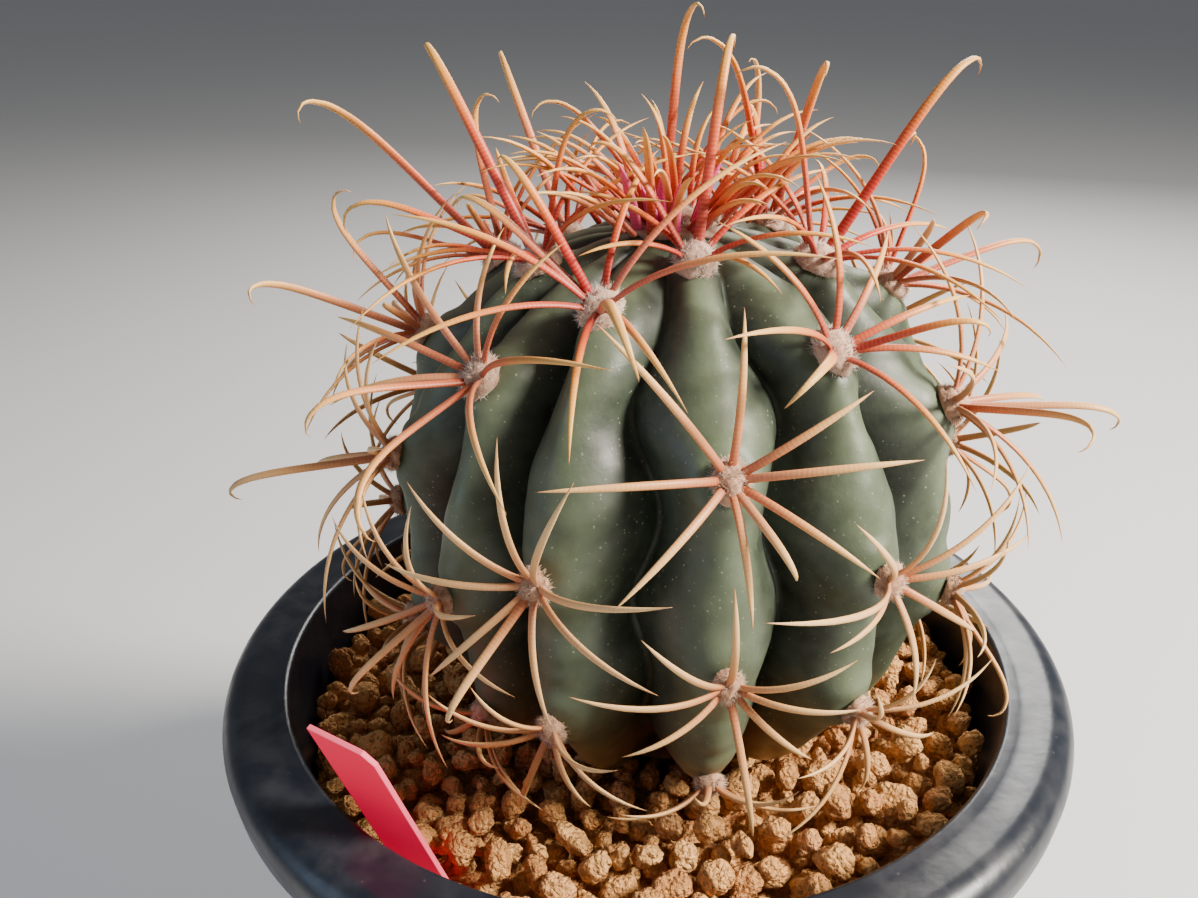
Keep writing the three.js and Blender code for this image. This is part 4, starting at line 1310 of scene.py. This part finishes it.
# %% Wool material
def make_wool_material():
    material, tree, shader = new_material("areole_wool", 0.95, Sheen_Weight=0.15, Specular_IOR_Level=0.2)
    tone = slow_tone(tree, 0.0012)
    # Painted shade: these felt colours stand for the wool in the shade among its fibres
    fresh = add_mix(tree, tone, (0.40, 0.23, 0.16, 1), (0.58, 0.40, 0.29, 1))
    aged = add_mix(tree, tone, (0.34, 0.16, 0.085, 1), (0.56, 0.34, 0.21, 1))
    youth = read_value(tree, "youth")
    felt_with_painted_shade = add_mix(tree, youth, aged, fresh)
    # The felt is the wool's own browner tone, darkened further as painted shade between the fibres; the
    # fibres are paler, most of all at their tips
    fibre = add_mix(tree, youth, (0.88, 0.70, 0.53, 1), (0.97, 0.89, 0.79, 1))
    wool = paint_over(tree, felt_with_painted_shade, read_value(tree, "along"), read_value(tree, "tone"), fibre)
    tree.links.new(wool, shader.inputs["Base Color"])
    return material


WOOL_MATERIAL = make_wool_material()
print("material:", WOOL_MATERIAL.name)

# %% Spines and wool in one piece
HOOK_KEEPS_RED = 1.35
YOUTH_SPREAD = 0.12
SPINE_TONES = (0.1, 0.9)
FIBRE_TONES = (0.4, 1)


def join_parts(parts):
    """Several (points, faces) in one list of each."""
    places, faces, start = [], [], 0
    for points, corners in parts:
        places.append(points)
        faces += [tuple(start + corner for corner in face) for face in corners]
        start += len(points)
    return np.concatenate(places), faces


def build_bunch(name, node, spines, dome, fibres, youth, slot, seed):
    """One areole: its spines and its wool in one mesh with two materials."""
    rng = np.random.default_rng(seed)
    parts, stored = [], []
    for line in spines:
        is_hook = line["bend"] == HOOK_BEND
        points, faces, shares = sweep_spine(line, HOOK_RINGS if is_hook else RADIAL_RINGS)
        parts.append((points, faces))
        along = shares ** (HOOK_KEEPS_RED if is_hook else 1.0)
        tone = rng.uniform(*SPINE_TONES)
        own_youth = np.clip(youth + rng.uniform(-YOUTH_SPREAD, YOUTH_SPREAD), 0, 1)
        stored.append((along, shares * line["length"], tone, own_youth, line.get("fresh", 0)))
    spine_faces = sum(len(faces) for _, faces in parts)
    parts += [dome, fibres]
    count = len(fibres[0]) // FIBRE_POINTS
    fibre_tones = np.repeat(rng.uniform(*FIBRE_TONES, count), FIBRE_POINTS)
    stored.append((np.zeros(len(dome[0])), 0, 0, youth, 0))
    stored.append((np.tile(FIBRE_SHARES, count), 0, fibre_tones, youth, 0))
    places, faces = join_parts(parts)
    piece = new_piece(name, places, faces, [SPINE_MATERIAL, WOOL_MATERIAL], [node])
    indices = np.zeros(len(faces), dtype=np.int32)
    indices[spine_faces:] = 1
    piece.data.polygons.foreach_set("material_index", indices)
    columns = zip(*(np.broadcast_arrays(*row) for row in stored))
    for label, values in zip(("along", "run", "tone", "youth", "fresh"), columns):
        store_values(piece, label, np.concatenate(values))
    return piece


print("a hook's red goes with its length to the power of", HOOK_KEEPS_RED)

# %% Build each bunch
YOUTH_LOW = 46
YOUTH_HIGH = 71
YOUNG_WIDER = 0.4
OLD_FIBRES = 0.82
FIBRE_SEEDS = 100
BUNCH_SEEDS = 200


def build_areole(key, index):
    areole = AREOLES[key]
    youth = min(max((areole["over"] - YOUTH_LOW) / (YOUTH_HIGH - YOUTH_LOW), 0), 1)
    size = np.array([WOOL_WIDTH, WOOL_LENGTH, WOOL_HEIGHT]) * (1 + YOUNG_WIDER * youth)
    dome = wool_dome(areole, *size, index)
    worn = OLD_FIBRES + (1 - OLD_FIBRES) * youth
    count, reach = round(worn * FIBRES_PER_PAD), worn * FIBRE_REACH
    fibres = wool_fibres(areole, *size, count, reach, FIBRE_SEEDS + index)
    slot = "upper_spines" if areole["over"] > YOUNG_ABOVE else "lower_spines"
    names = f"bunch_{key}", f"areole_{key}"
    return build_bunch(*names, BUNCHES[key], dome, fibres, youth, slot, BUNCH_SEEDS + index)


bunch_pieces = [build_areole(key, index) for index, key in enumerate(AREOLES)]
print("bunches:", len(bunch_pieces), "faces:", sum(len(piece.data.polygons) for piece in bunch_pieces))

# %% Build the crown
CROWN_FIBRES = 4800
CROWN_WOOL_REACH = 1.7
CROWN_DOME_SEED = 61
CROWN_FIBRE_SEED = 62
CROWN_SPINE_SEED = 63
crown_place = {
    "centre": CROWN_FOOT - np.array([0, 0, GAP]),
    "side": np.array([1.0, 0, 0]),
    "upward": np.array([0, 1.0, 0]),
    "normal": np.array([0, 0, 1.0]),
}
crown_size = (CROWN_RADIUS, CROWN_RADIUS, CROWN_HEIGHT)
crown_dome = wool_dome(crown_place, *crown_size, CROWN_DOME_SEED)
crown_fibres = wool_fibres(
    crown_place, *crown_size, CROWN_FIBRES, CROWN_WOOL_REACH, CROWN_FIBRE_SEED
)
crown = build_bunch(
    "crown_tuft",
    "crown",
    CROWN_SPINES + EXTRA_SPINES,
    crown_dome,
    crown_fibres,
    youth=1.0,
    slot="young_spines",
    seed=CROWN_SPINE_SEED,
)
print("faces of the crown:", len(crown.data.polygons))

# %% [markdown]
# ## The gravel
#
# The pot is topped up with porous baked-clay granules. They are lumps of 3 to 9 mm that
# lie as they fell. A physics run would settle them, but it takes minutes and may leave
# some in the air. A simple rule does nearly as well: for each granule we try many places,
# work out how low it would come to rest on those below, and keep the lowest.

# %% Let the granules fall
BED_FLOOR = SOIL_TOP - 8
GRANULE_LEAST = 1.3
GRANULE_MOST = 4.3
GRANULE_SINK = 0.84
GRANULE_TRIES = 36
GRANULE_TOP = SOIL_TOP + STONE_HEIGHT
GRANULES_MOST = 1500
GRANULE_SIZES = (1.3, 2.2)
MISSES_ALLOWED = 60
GRANULE_SEED = 12
WALL_TOUCH = 0.92
STEM_TOUCH = 0.6
STEM_INSIDE = 0.93
SOFT_TOUCH = 0.8
POT_WALL = 2.4
POT_FLOOR = 4
BASE_RADIUS = 49


def pot_outer(height):
    return BASE_RADIUS + (MOUTH_RADIUS + POT_WALL - BASE_RADIUS) * height / POT_HEIGHT


def pot_inner(height):
    return pot_outer(height) - POT_WALL


def drop_granules():
    rng = np.random.default_rng(GRANULE_SEED)
    wall = float(pot_inner(SOIL_TOP))
    places, radii = np.zeros((0, 3)), np.zeros(0)
    misses = 0
    while len(radii) < GRANULES_MOST and misses < MISSES_ALLOWED:
        radius = GRANULE_LEAST + (GRANULE_MOST - GRANULE_LEAST) * rng.beta(*GRANULE_SIZES)
        turn = rng.uniform(0, 2 * np.pi, GRANULE_TRIES)
        reach = (wall - WALL_TOUCH * radius) * np.sqrt(rng.uniform(0, 1, GRANULE_TRIES))
        x, y = reach * np.cos(turn), reach * np.sin(turn)
        z = np.full(GRANULE_TRIES, BED_FLOOR + radius)
        if len(radii):
            flat = np.hypot(x[:, None] - places[:, 0], y[:, None] - places[:, 1])
            touch = GRANULE_SINK * (radius + radii)
            rest = places[:, 2] + np.sqrt(np.maximum(touch ** 2 - flat ** 2, 0))
            z = np.maximum(z, np.where(flat < touch, rest, -np.inf).max(axis=1))
        from_axis = np.hypot(x - STEM_X, y - STEM_Y)
        off_stem = from_axis > crest_radius(z) * STEM_INSIDE + STEM_TOUCH * radius
        low = z + SOFT_TOUCH * radius < GRANULE_TOP
        free = off_label(np.stack([x, y, z], axis=-1), SOFT_TOUCH * radius)
        usable = off_stem & low & free
        if not usable.any():
            misses += 1
            continue
        best = np.argmin(np.where(usable, z, np.inf))
        places = np.concatenate([places, [[x[best], y[best], z[best]]]])
        radii = np.append(radii, radius)
    return places, radii


granule_places, granule_radii = drop_granules()
highest = float((granule_places[:, 2] + granule_radii).max())
print("granules:", len(granule_radii), "highest:", round(highest, 1))

# %% A ball made from a cube
def cube_sphere(steps):
    """Points and quads of a ball made from a cube's six faces, which has no poles."""
    marks = [math.tan(math.pi / 4 * (2 * i / steps - 1)) for i in range(steps + 1)]
    corners, quads = {}, []
    for axis, side, i, j in itertools.product(range(3), (-1, 1), range(steps), range(steps)):
        ring = []
        for a, b in ((i, j), (i + 1, j), (i + 1, j + 1), (i, j + 1)):
            place = np.roll([side, marks[a], marks[b]], axis)
            known = corners.setdefault(tuple(place.round(6)), (len(corners), place))
            ring.append(known[0])
        quads.append(tuple(ring if side > 0 else ring[::-1]))
    return unit(np.array([place for _, place in corners.values()])), quads


FINE_BALL = cube_sphere(8)
COARSE_BALL = cube_sphere(4)
print("faces of a fine and a coarse ball:", len(FINE_BALL[1]), len(COARSE_BALL[1]))

# %% A granule's lumpy form
GRANULE_CRUMBS = 5
GRANULE_FLATS = 9
CRUMB_CREASE = 12
FLAT_CREASE = 10
GRANULE_LUMPS = 0.07
GRANULE_STRETCH = (0.76, 1.26)
GRANULE_GRIT = 0.05
CRUMB_PLACES = (0.2, 0.52)
CRUMB_SIZES = (0.54, 0.66)
CRUMB_REACH = 1.08
FLAT_DEPTHS = (0.64, 1.0)
LUMP_WAVES = (1.0, 0.5, 7)
GRIT_WAVES = (0.42, 0.24, 10)
SEEDS = 1e6


def granule(place, radius, rng, ball):
    """Points of one lump: a few crumbs baked together, broken flat in places, rough all over."""
    ways = unit(rng.normal(size=(GRANULE_CRUMBS, 3)))
    centres = ways * rng.uniform(*CRUMB_PLACES, GRANULE_CRUMBS)[:, None]
    crumb_sizes = rng.uniform(*CRUMB_SIZES, GRANULE_CRUMBS)
    along = ball @ centres.T
    reach = along + np.sqrt(along ** 2 - (centres ** 2).sum(axis=1) + crumb_sizes ** 2)
    form = ((reach / CRUMB_REACH) ** CRUMB_CREASE).sum(axis=1) ** (1 / CRUMB_CREASE)
    flats = unit(rng.normal(size=(GRANULE_FLATS, 3)))
    facing = np.maximum(ball @ flats.T, 0) / rng.uniform(*FLAT_DEPTHS, GRANULE_FLATS)
    form = ((facing ** FLAT_CREASE).sum(axis=1) + form ** -FLAT_CREASE) ** (-1 / FLAT_CREASE)
    points = ball * form[:, None]
    shifted = points + rng.uniform(0, 50, 3)
    lumps = wavy(shifted, int(rng.integers(SEEDS)), *LUMP_WAVES)
    grit = wavy(points, int(rng.integers(SEEDS)), *GRIT_WAVES)
    points *= 1 + (GRANULE_LUMPS * lumps + GRANULE_GRIT * grit)[:, None]
    stretch = rng.uniform(*GRANULE_STRETCH, 3)
    turn = np.linalg.qr(rng.normal(size=(3, 3)))[0]
    if np.linalg.det(turn) < 0:
        turn[:, 0] *= -1
    return place + (points * stretch) @ turn.T * radius


print("crumbs in a granule:", GRANULE_CRUMBS)

# %% [markdown]
# ## The granules' finish
#
# Baked clay is dry and dull, tan to orange-brown from one lump to the next, and paler on
# its rubbed edges. Its pores are darker, which is painted shade in the pits. Each lump gets
# a tone of its own. Its skin of fine crumbs and grit is too small to model, so a bump gives that.

# %% Granule material
CLAYS = [
    (0.0, (0.47, 0.195, 0.062)),
    (0.25, (0.62, 0.285, 0.090)),
    (0.6, (0.72, 0.355, 0.118)),
    (0.85, (0.79, 0.42, 0.150)),
    (1.0, (0.68, 0.315, 0.125)),
]


def make_granule_material():
    material, tree, shader = new_material("baked_clay", 0.92, Specular_IOR_Level=0.25)
    lump = add_node(tree, "ShaderNodeValToRGB", Fac=read_value(tree, "lump"))
    set_ramp(lump, CLAYS)
    tone = slow_tone(tree, 0.0016)
    rubbed = paint_over(tree, lump.outputs[0], tone, 0.3, (0.82, 0.45, 0.17, 1))
    pores = place_group(tree, SPECKS, Size=0.0007, Spacing=0.0011)
    # Painted shade: the pores are darkened, as shade falls into the pits
    pores_with_painted_shade = paint_over(tree, rubbed, pores, 0.4, (0.30, 0.12, 0.04, 1))
    tree.links.new(pores_with_painted_shade, shader.inputs["Base Color"])
    # The relief is of crumbs: each cell of the pattern is a small dome, with fine grit over it
    place = add_node(tree, "ShaderNodeTexCoord").outputs["Object"]
    crumbs = add_node(tree, "ShaderNodeTexVoronoi", values={"Scale": 1150.0}, Vector=place)
    grit = add_node(tree, "ShaderNodeTexNoise", values={"Scale": 2300.0, "Detail": 4.0}, Vector=place)
    domes = multiply(tree, crumbs.outputs["Distance"], -1.0)
    rough = add_math(tree, "ADD", domes, multiply(tree, grit.outputs["Fac"], 0.9))
    height = add_math(tree, "SUBTRACT", rough, multiply(tree, pores, 0.5))
    add_bump(tree, shader, height, strength=1.0, distance=0.001)
    return material


GRANULE_MATERIAL = make_granule_material()
print("material:", GRANULE_MATERIAL.name)

# %% Build the gravel
SEEN_FROM = SOIL_TOP
PART_SEEDS = 31
FILL_SIDES = 96
FILL_OVER = 1.5
FILL_SLACK = 0.1


def build_granules(name, chosen, seed):
    """One part of the bed; the granules that lie deep and hidden are coarser."""
    rng = np.random.default_rng(seed)
    parts, tones = [], []
    for index in chosen:
        place, radius = granule_places[index], granule_radii[index]
        ball, quads = FINE_BALL if place[2] + radius > SEEN_FROM else COARSE_BALL
        points = granule(place, radius, rng, ball)
        parts.append((points, quads))
        tones.append(np.full(len(points), rng.uniform(0, 1)))
    places, faces = join_parts(parts)
    piece = new_piece(name, places, faces, [GRANULE_MATERIAL], ["gravel_bed"])
    store_values(piece, "lump", np.concatenate(tones))
    return piece


def build_fill():
    """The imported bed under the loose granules, a plain drum with the stem's hole in it."""
    sides = FILL_SIDES
    top = BED_FLOOR + FILL_OVER
    rim = GAP + FILL_SLACK
    hole_floor = SOIL_TOP - NECK_DEPTH - GAP
    hole_radius = NECK_TOP_RADIUS + 1
    hole = [level_ring(hole_radius, height, sides, STEM_X, STEM_Y) for height in (hole_floor, top)]
    outer = [(pot_inner(top) - rim, top), (pot_inner(POT_FLOOR) - rim, POT_FLOOR + GAP)]
    rings = hole + [level_ring(radius, height, sides) for radius, height in outer]
    centres = np.array([[STEM_X, STEM_Y, hole_floor], [0, 0, POT_FLOOR + GAP]])
    places = np.concatenate([*rings, centres])
    faces = [face[::-1] for face in closed_faces(len(rings), sides)]
    finish = [GRANULE_MATERIAL]
    piece = new_piece("gravel_fill", places, faces, finish, ["gravel_bed"], smooth=False)
    store_values(piece, "lump", np.zeros(len(places)))
    return piece


granule_azimuths = np.degrees(np.arctan2(granule_places[:, 0], -granule_places[:, 1]))
quarters = (granule_azimuths // 90).astype(int) + 2
for number, name in enumerate(("back_left", "front_left", "front_right", "back_right")):
    part = build_granules(f"granules_{name}", np.flatnonzero(quarters == number), PART_SEEDS + number)
    print(part.name, "faces:", len(part.data.polygons))
gravel_fill = build_fill()

# %% [markdown]
# ## The pot
#
# A nursery pot is one injection moulding: a tapered wall, a floor with drain holes, and a
# broad rim rolled over for stiffness. It is turned from a profile here, as a potter would,
# with arcs where the mould has radii. The holes are cut with a Boolean modifier, applied
# at once so that nothing is left to recompute.

# %% Turn the pot
POT_SIDES = 180
RIM_RADIUS = 75
RIM_SKIRT = 11
RIM_ROLL = 4.5
RIM_TUCK = 1.8
RIM_DIP = 0.35
LIP_ROUND = 1
FOOT_ROUND = 1.5
FOOT_RING = 6
FLOOR_RING = 8
WALL_START = 6
SKIRT_EDGE = 0.7
DRAIN_HOLES = 8
DRAIN_RING = 33
DRAIN_RADIUS = 4.5
DRAIN_SIDES = 32
WALL_RINGS = 12


def arc(centre, radius, start, end, steps):
    """Points of an arc in the profile, with angles in degrees."""
    angles = np.radians(np.linspace(start, end, steps))
    x, y = centre
    return [(x + radius * math.cos(angle), y + radius * math.sin(angle)) for angle in angles]


def pot_profile():
    skirt = POT_HEIGHT - RIM_SKIRT
    land = RIM_RADIUS - RIM_ROLL
    low = POT_HEIGHT - RIM_DIP
    dip = [(land - 2, POT_HEIGHT - 0.6 * RIM_DIP), (land - 3.5, low), (MOUTH_RADIUS + 2.4, low)]
    return [
        (BASE_RADIUS - FOOT_RING, 0),
        (BASE_RADIUS - FOOT_ROUND - 1, 0),
        *arc((BASE_RADIUS - FOOT_ROUND, FOOT_ROUND), FOOT_ROUND, -90, -8, 6),
        *[(pot_outer(h), h) for h in np.linspace(WALL_START, skirt - RIM_TUCK - 1, WALL_RINGS)],
        (pot_outer(skirt - RIM_TUCK) + 0.3, skirt - RIM_TUCK + 0.1),
        (RIM_RADIUS - RIM_TUCK - 0.6, skirt - 0.05),
        *arc((RIM_RADIUS - RIM_TUCK - 0.5, skirt + SKIRT_EDGE), SKIRT_EDGE, -80, 0, 4),
        (RIM_RADIUS - 0.5, skirt + 3),
        *arc((land, POT_HEIGHT - RIM_ROLL), RIM_ROLL, 0, 90, 12),
        *dip,
        *arc((MOUTH_RADIUS + LIP_ROUND, POT_HEIGHT - LIP_ROUND), LIP_ROUND, 90, 175, 6),
        *[(pot_inner(h), h) for h in np.linspace(POT_HEIGHT - 4, POT_FLOOR + 2, WALL_RINGS)],
        (pot_inner(POT_FLOOR) - 1, POT_FLOOR),
        (BASE_RADIUS - FLOOR_RING, POT_FLOOR),
    ]


def turn_pot():
    rings = [level_ring(radius, height, POT_SIDES) for radius, height in pot_profile()]
    places = np.concatenate([*rings, [[0, 0, 0], [0, 0, POT_FLOOR]]])
    return places, closed_faces(len(rings), POT_SIDES)


def cut_drains(pot):
    for i in range(DRAIN_HOLES):
        angle = 2 * math.pi * i / DRAIN_HOLES
        x, y = DRAIN_RING * math.cos(angle), DRAIN_RING * math.sin(angle)
        bpy.ops.mesh.primitive_cylinder_add(
            vertices=DRAIN_SIDES,
            radius=DRAIN_RADIUS * MM,
            depth=3 * POT_FLOOR * MM,
            location=(x * MM, y * MM, POT_FLOOR / 2 * MM),
        )
        cutter = bpy.context.object
        cut = pot.modifiers.new("drain", "BOOLEAN")
        cut.operation = "DIFFERENCE"
        cut.object = cutter
        bpy.context.view_layer.objects.active = pot
        bpy.ops.object.modifier_apply(modifier=cut.name)
        bpy.data.objects.remove(cutter)


# %% [markdown]
# ## Black plastic
#
# The moulding is black with a soft shine, its black tinted a little blue as a painted
# reflection of the sky. Dust and splashes of dried water dull it, most of all on the rim,
# because dust settles on what faces up.

# %% Pot material
def make_pot_material():
    material, tree, shader = new_material("black_plastic", 0.36)
    cloud = slow_tone(tree, 0.022)
    haze = slow_tone(tree, 0.005)
    facing = add_node(tree, "ShaderNodeNewGeometry").outputs["Normal"]
    rise = add_node(tree, "ShaderNodeSeparateXYZ", Vector=facing).outputs["Z"]
    settled = add_range(tree, rise, 0.1, 0.9, 0.045, 0.13)
    clouded = multiply(tree, cloud, haze)
    # Painted reflection: the black base is tinted a little blue for the sky it would mirror
    dull = paint_over(tree, (0.007, 0.010, 0.017, 1), clouded, settled, (0.26, 0.25, 0.25, 1))
    specks = place_group(tree, SPECKS, Size=0.0006, Spacing=0.0066)
    grains = place_group(tree, SPECKS, Size=0.0003, Spacing=0.0021)
    faint = multiply(tree, grains, 0.6)
    bits = add_math(tree, "MAXIMUM", specks, faint)
    speckled = paint_over(tree, dull, bits, 0.2, (0.34, 0.29, 0.24, 1))
    tree.links.new(speckled, shader.inputs["Base Color"])
    worn = slow_tone(tree, 0.009, 0.29, 0.39)
    tree.links.new(worn, shader.inputs["Roughness"])
    add_bump(tree, shader, haze, strength=0.12, distance=0.0003)
    return material


POT_MATERIAL = make_pot_material()
pot_places, pot_faces = turn_pot()
pot = new_piece("pot_moulding", pot_places, pot_faces, [POT_MATERIAL], ["pot"])
cut_drains(pot)
print("faces of the pot:", len(pot.data.polygons))

# %% [markdown]
# ## The label
#
# The label is a strip of red plastic, cut slantwise at its top and pushed into the gravel.
# It is a plate with a little thickness, and light that enters its faces leaves at its
# edges, which look paler. So the narrow faces get a paler material of their own. Faces and
# edges also glow with a painted emission, which shines the same whatever light falls on them.

# %% The label
LABEL_BURIED = 18
LABEL_CHAMFER = 1.8
LABEL_BEVEL = 0.12
LABEL_PAINTED_GLOW = 0.85


def make_label_material(name, colour, shine):
    material, tree, shader = new_material(name, shine, Specular_IOR_Level=0.2)
    tone = slow_tone(tree, 0.01, 0.0, 0.15)
    dye = add_mix(tree, tone, colour, (0.62, 0.02, 0.06, 1))
    tree.links.new(dye, shader.inputs["Base Color"])
    # The dye is fluorescent; its glow is painted as emission in the dye's colour, which shines whatever
    # light falls on it
    tree.links.new(dye, shader.inputs["Emission Color"])
    shader.inputs["Emission Strength"].default_value = LABEL_PAINTED_GLOW
    return material


def make_label():
    rise = unit(LABEL_RISE)
    level = np.cross(LABEL_FACE, rise)
    if level @ LABEL_ACROSS < 0:
        level = -level
    length = float(np.linalg.norm(LABEL_RISE))
    outline = [
        (0, -LABEL_BURIED),
        (LABEL_WIDTH, -LABEL_BURIED),
        (LABEL_WIDTH, length - LABEL_CHAMFER),
        (LABEL_WIDTH - LABEL_CHAMFER, length),
        (0, length),
    ]
    half = LABEL_FACE * LABEL_THICKNESS / 2
    front = [LABEL_LEFT + level * x + rise * y - half for x, y in outline]
    back = [place + 2 * half for place in front]
    count = len(outline)
    faces = [tuple(range(count))[::-1], tuple(range(count, 2 * count))]
    faces += [(i, (i + 1) % count, count + (i + 1) % count, count + i) for i in range(count)]
    finishes = [LABEL_MATERIAL, LABEL_EDGE_MATERIAL]
    piece = new_piece("plant_label", front + back, faces, finishes, ["label"], smooth=False)
    piece.data.polygons.foreach_set("material_index", [0, 0] + [1] * count)
    bevel = piece.modifiers.new("worn_edge", "BEVEL")
    bevel.width = LABEL_BEVEL * MM
    bevel.segments = 2
    bevel.material = 1
    return piece


LABEL_MATERIAL = make_label_material("label_red", (0.56, 0.0, 0.034, 1), 0.6)
LABEL_EDGE_MATERIAL = make_label_material("label_edge", (0.62, 0.09, 0.14, 1), 0.5)
label = make_label()
print("faces of the label:", len(label.data.polygons))

# %% [markdown]
# ## The studio
#
# The object stands on a plain pale floor. A bright warm light from the right and above
# stands for the sun and shows the ribs, a weak cool one from the left opens the shadow
# side, and a third from behind picks out the spines against the background.

# %% Floor, lights and world
FLOOR_SIZE = 30.0
FLOOR_GREY = (0.62, 0.62, 0.62, 1)
WORLD_COLOUR = (0.80, 0.83, 0.88, 1)
WORLD_STRENGTH = 0.22


MIDDLE = (0, 0, 0.14)
LIGHTS = {
    "key_light": {"place": (0.58, -0.18, 0.58), "size": 0.2, "power": 23, "colour": (1.0, 0.93, 0.82)},
    "fill_light": {"place": (-0.7, -0.35, 0.4), "size": 0.6, "power": 2.0, "colour": (0.52, 0.71, 1.0)},
    "back_light": {"place": (0.25, 0.7, 0.55), "size": 0.4, "power": 6, "colour": (1.0, 0.97, 0.93)},
}


def add_light(name, place, size, power, colour):
    """A round soft light that faces the middle of the plant."""
    data = bpy.data.lights.new(name, "AREA")
    data.shape = "DISK"
    data.size = size
    data.energy = power
    data.color = colour
    light = bpy.data.objects.new(name, data)
    light.location = place
    light.rotation_euler = (Vector(MIDDLE) - Vector(place)).to_track_quat("-Z", "Y").to_euler()
    bpy.context.scene.collection.objects.link(light)


floor_mesh = bpy.data.meshes.new("studio_floor")
half_floor = FLOOR_SIZE / 2
floor_corners = [(x * half_floor, y * half_floor, 0) for x, y in ((-1, -1), (1, -1), (1, 1), (-1, 1))]
floor_mesh.from_pydata(floor_corners, [], [(0, 1, 2, 3)])
studio_floor = bpy.data.objects.new("studio_floor", floor_mesh)
bpy.context.scene.collection.objects.link(studio_floor)
floor_material = new_material("pale_floor", 0.8, Base_Color=FLOOR_GREY)[0]
floor_mesh.materials.append(floor_material)

for name, light in LIGHTS.items():
    add_light(name, **light)

world = bpy.data.worlds.new("studio_world")
world.use_nodes = True
background = world.node_tree.nodes["Background"]
background.inputs["Color"].default_value = WORLD_COLOUR
background.inputs["Strength"].default_value = WORLD_STRENGTH
bpy.context.scene.world = world

# %% [markdown]
# ## Checks
#
# The finer pieces must stay where the solids are. We compare each bunch's box with that of
# its solid, and the crown's and the stem's boxes with theirs.

# %% Compare with the solids
def box_difference(piece, node):
    points = np.array([piece.matrix_world @ vertex.co for vertex in piece.data.vertices])
    low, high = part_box(node)
    below = np.abs(points.min(axis=0) - np.array(low)).max()
    above = np.abs(points.max(axis=0) - np.array(high)).max()
    return max(below, above) / MM


differences = {
    piece.name: box_difference(piece, piece.name.replace("bunch", "areole"))
    for piece in bunch_pieces
}
worst = max(differences, key=differences.get)
print("largest difference of a bunch from its solid, in mm:", worst, round(differences[worst], 2))
for piece, node in ((crown, "crown"), (stem, "stem")):
    print(node, "differs by, in mm:", round(box_difference(piece, node), 2))
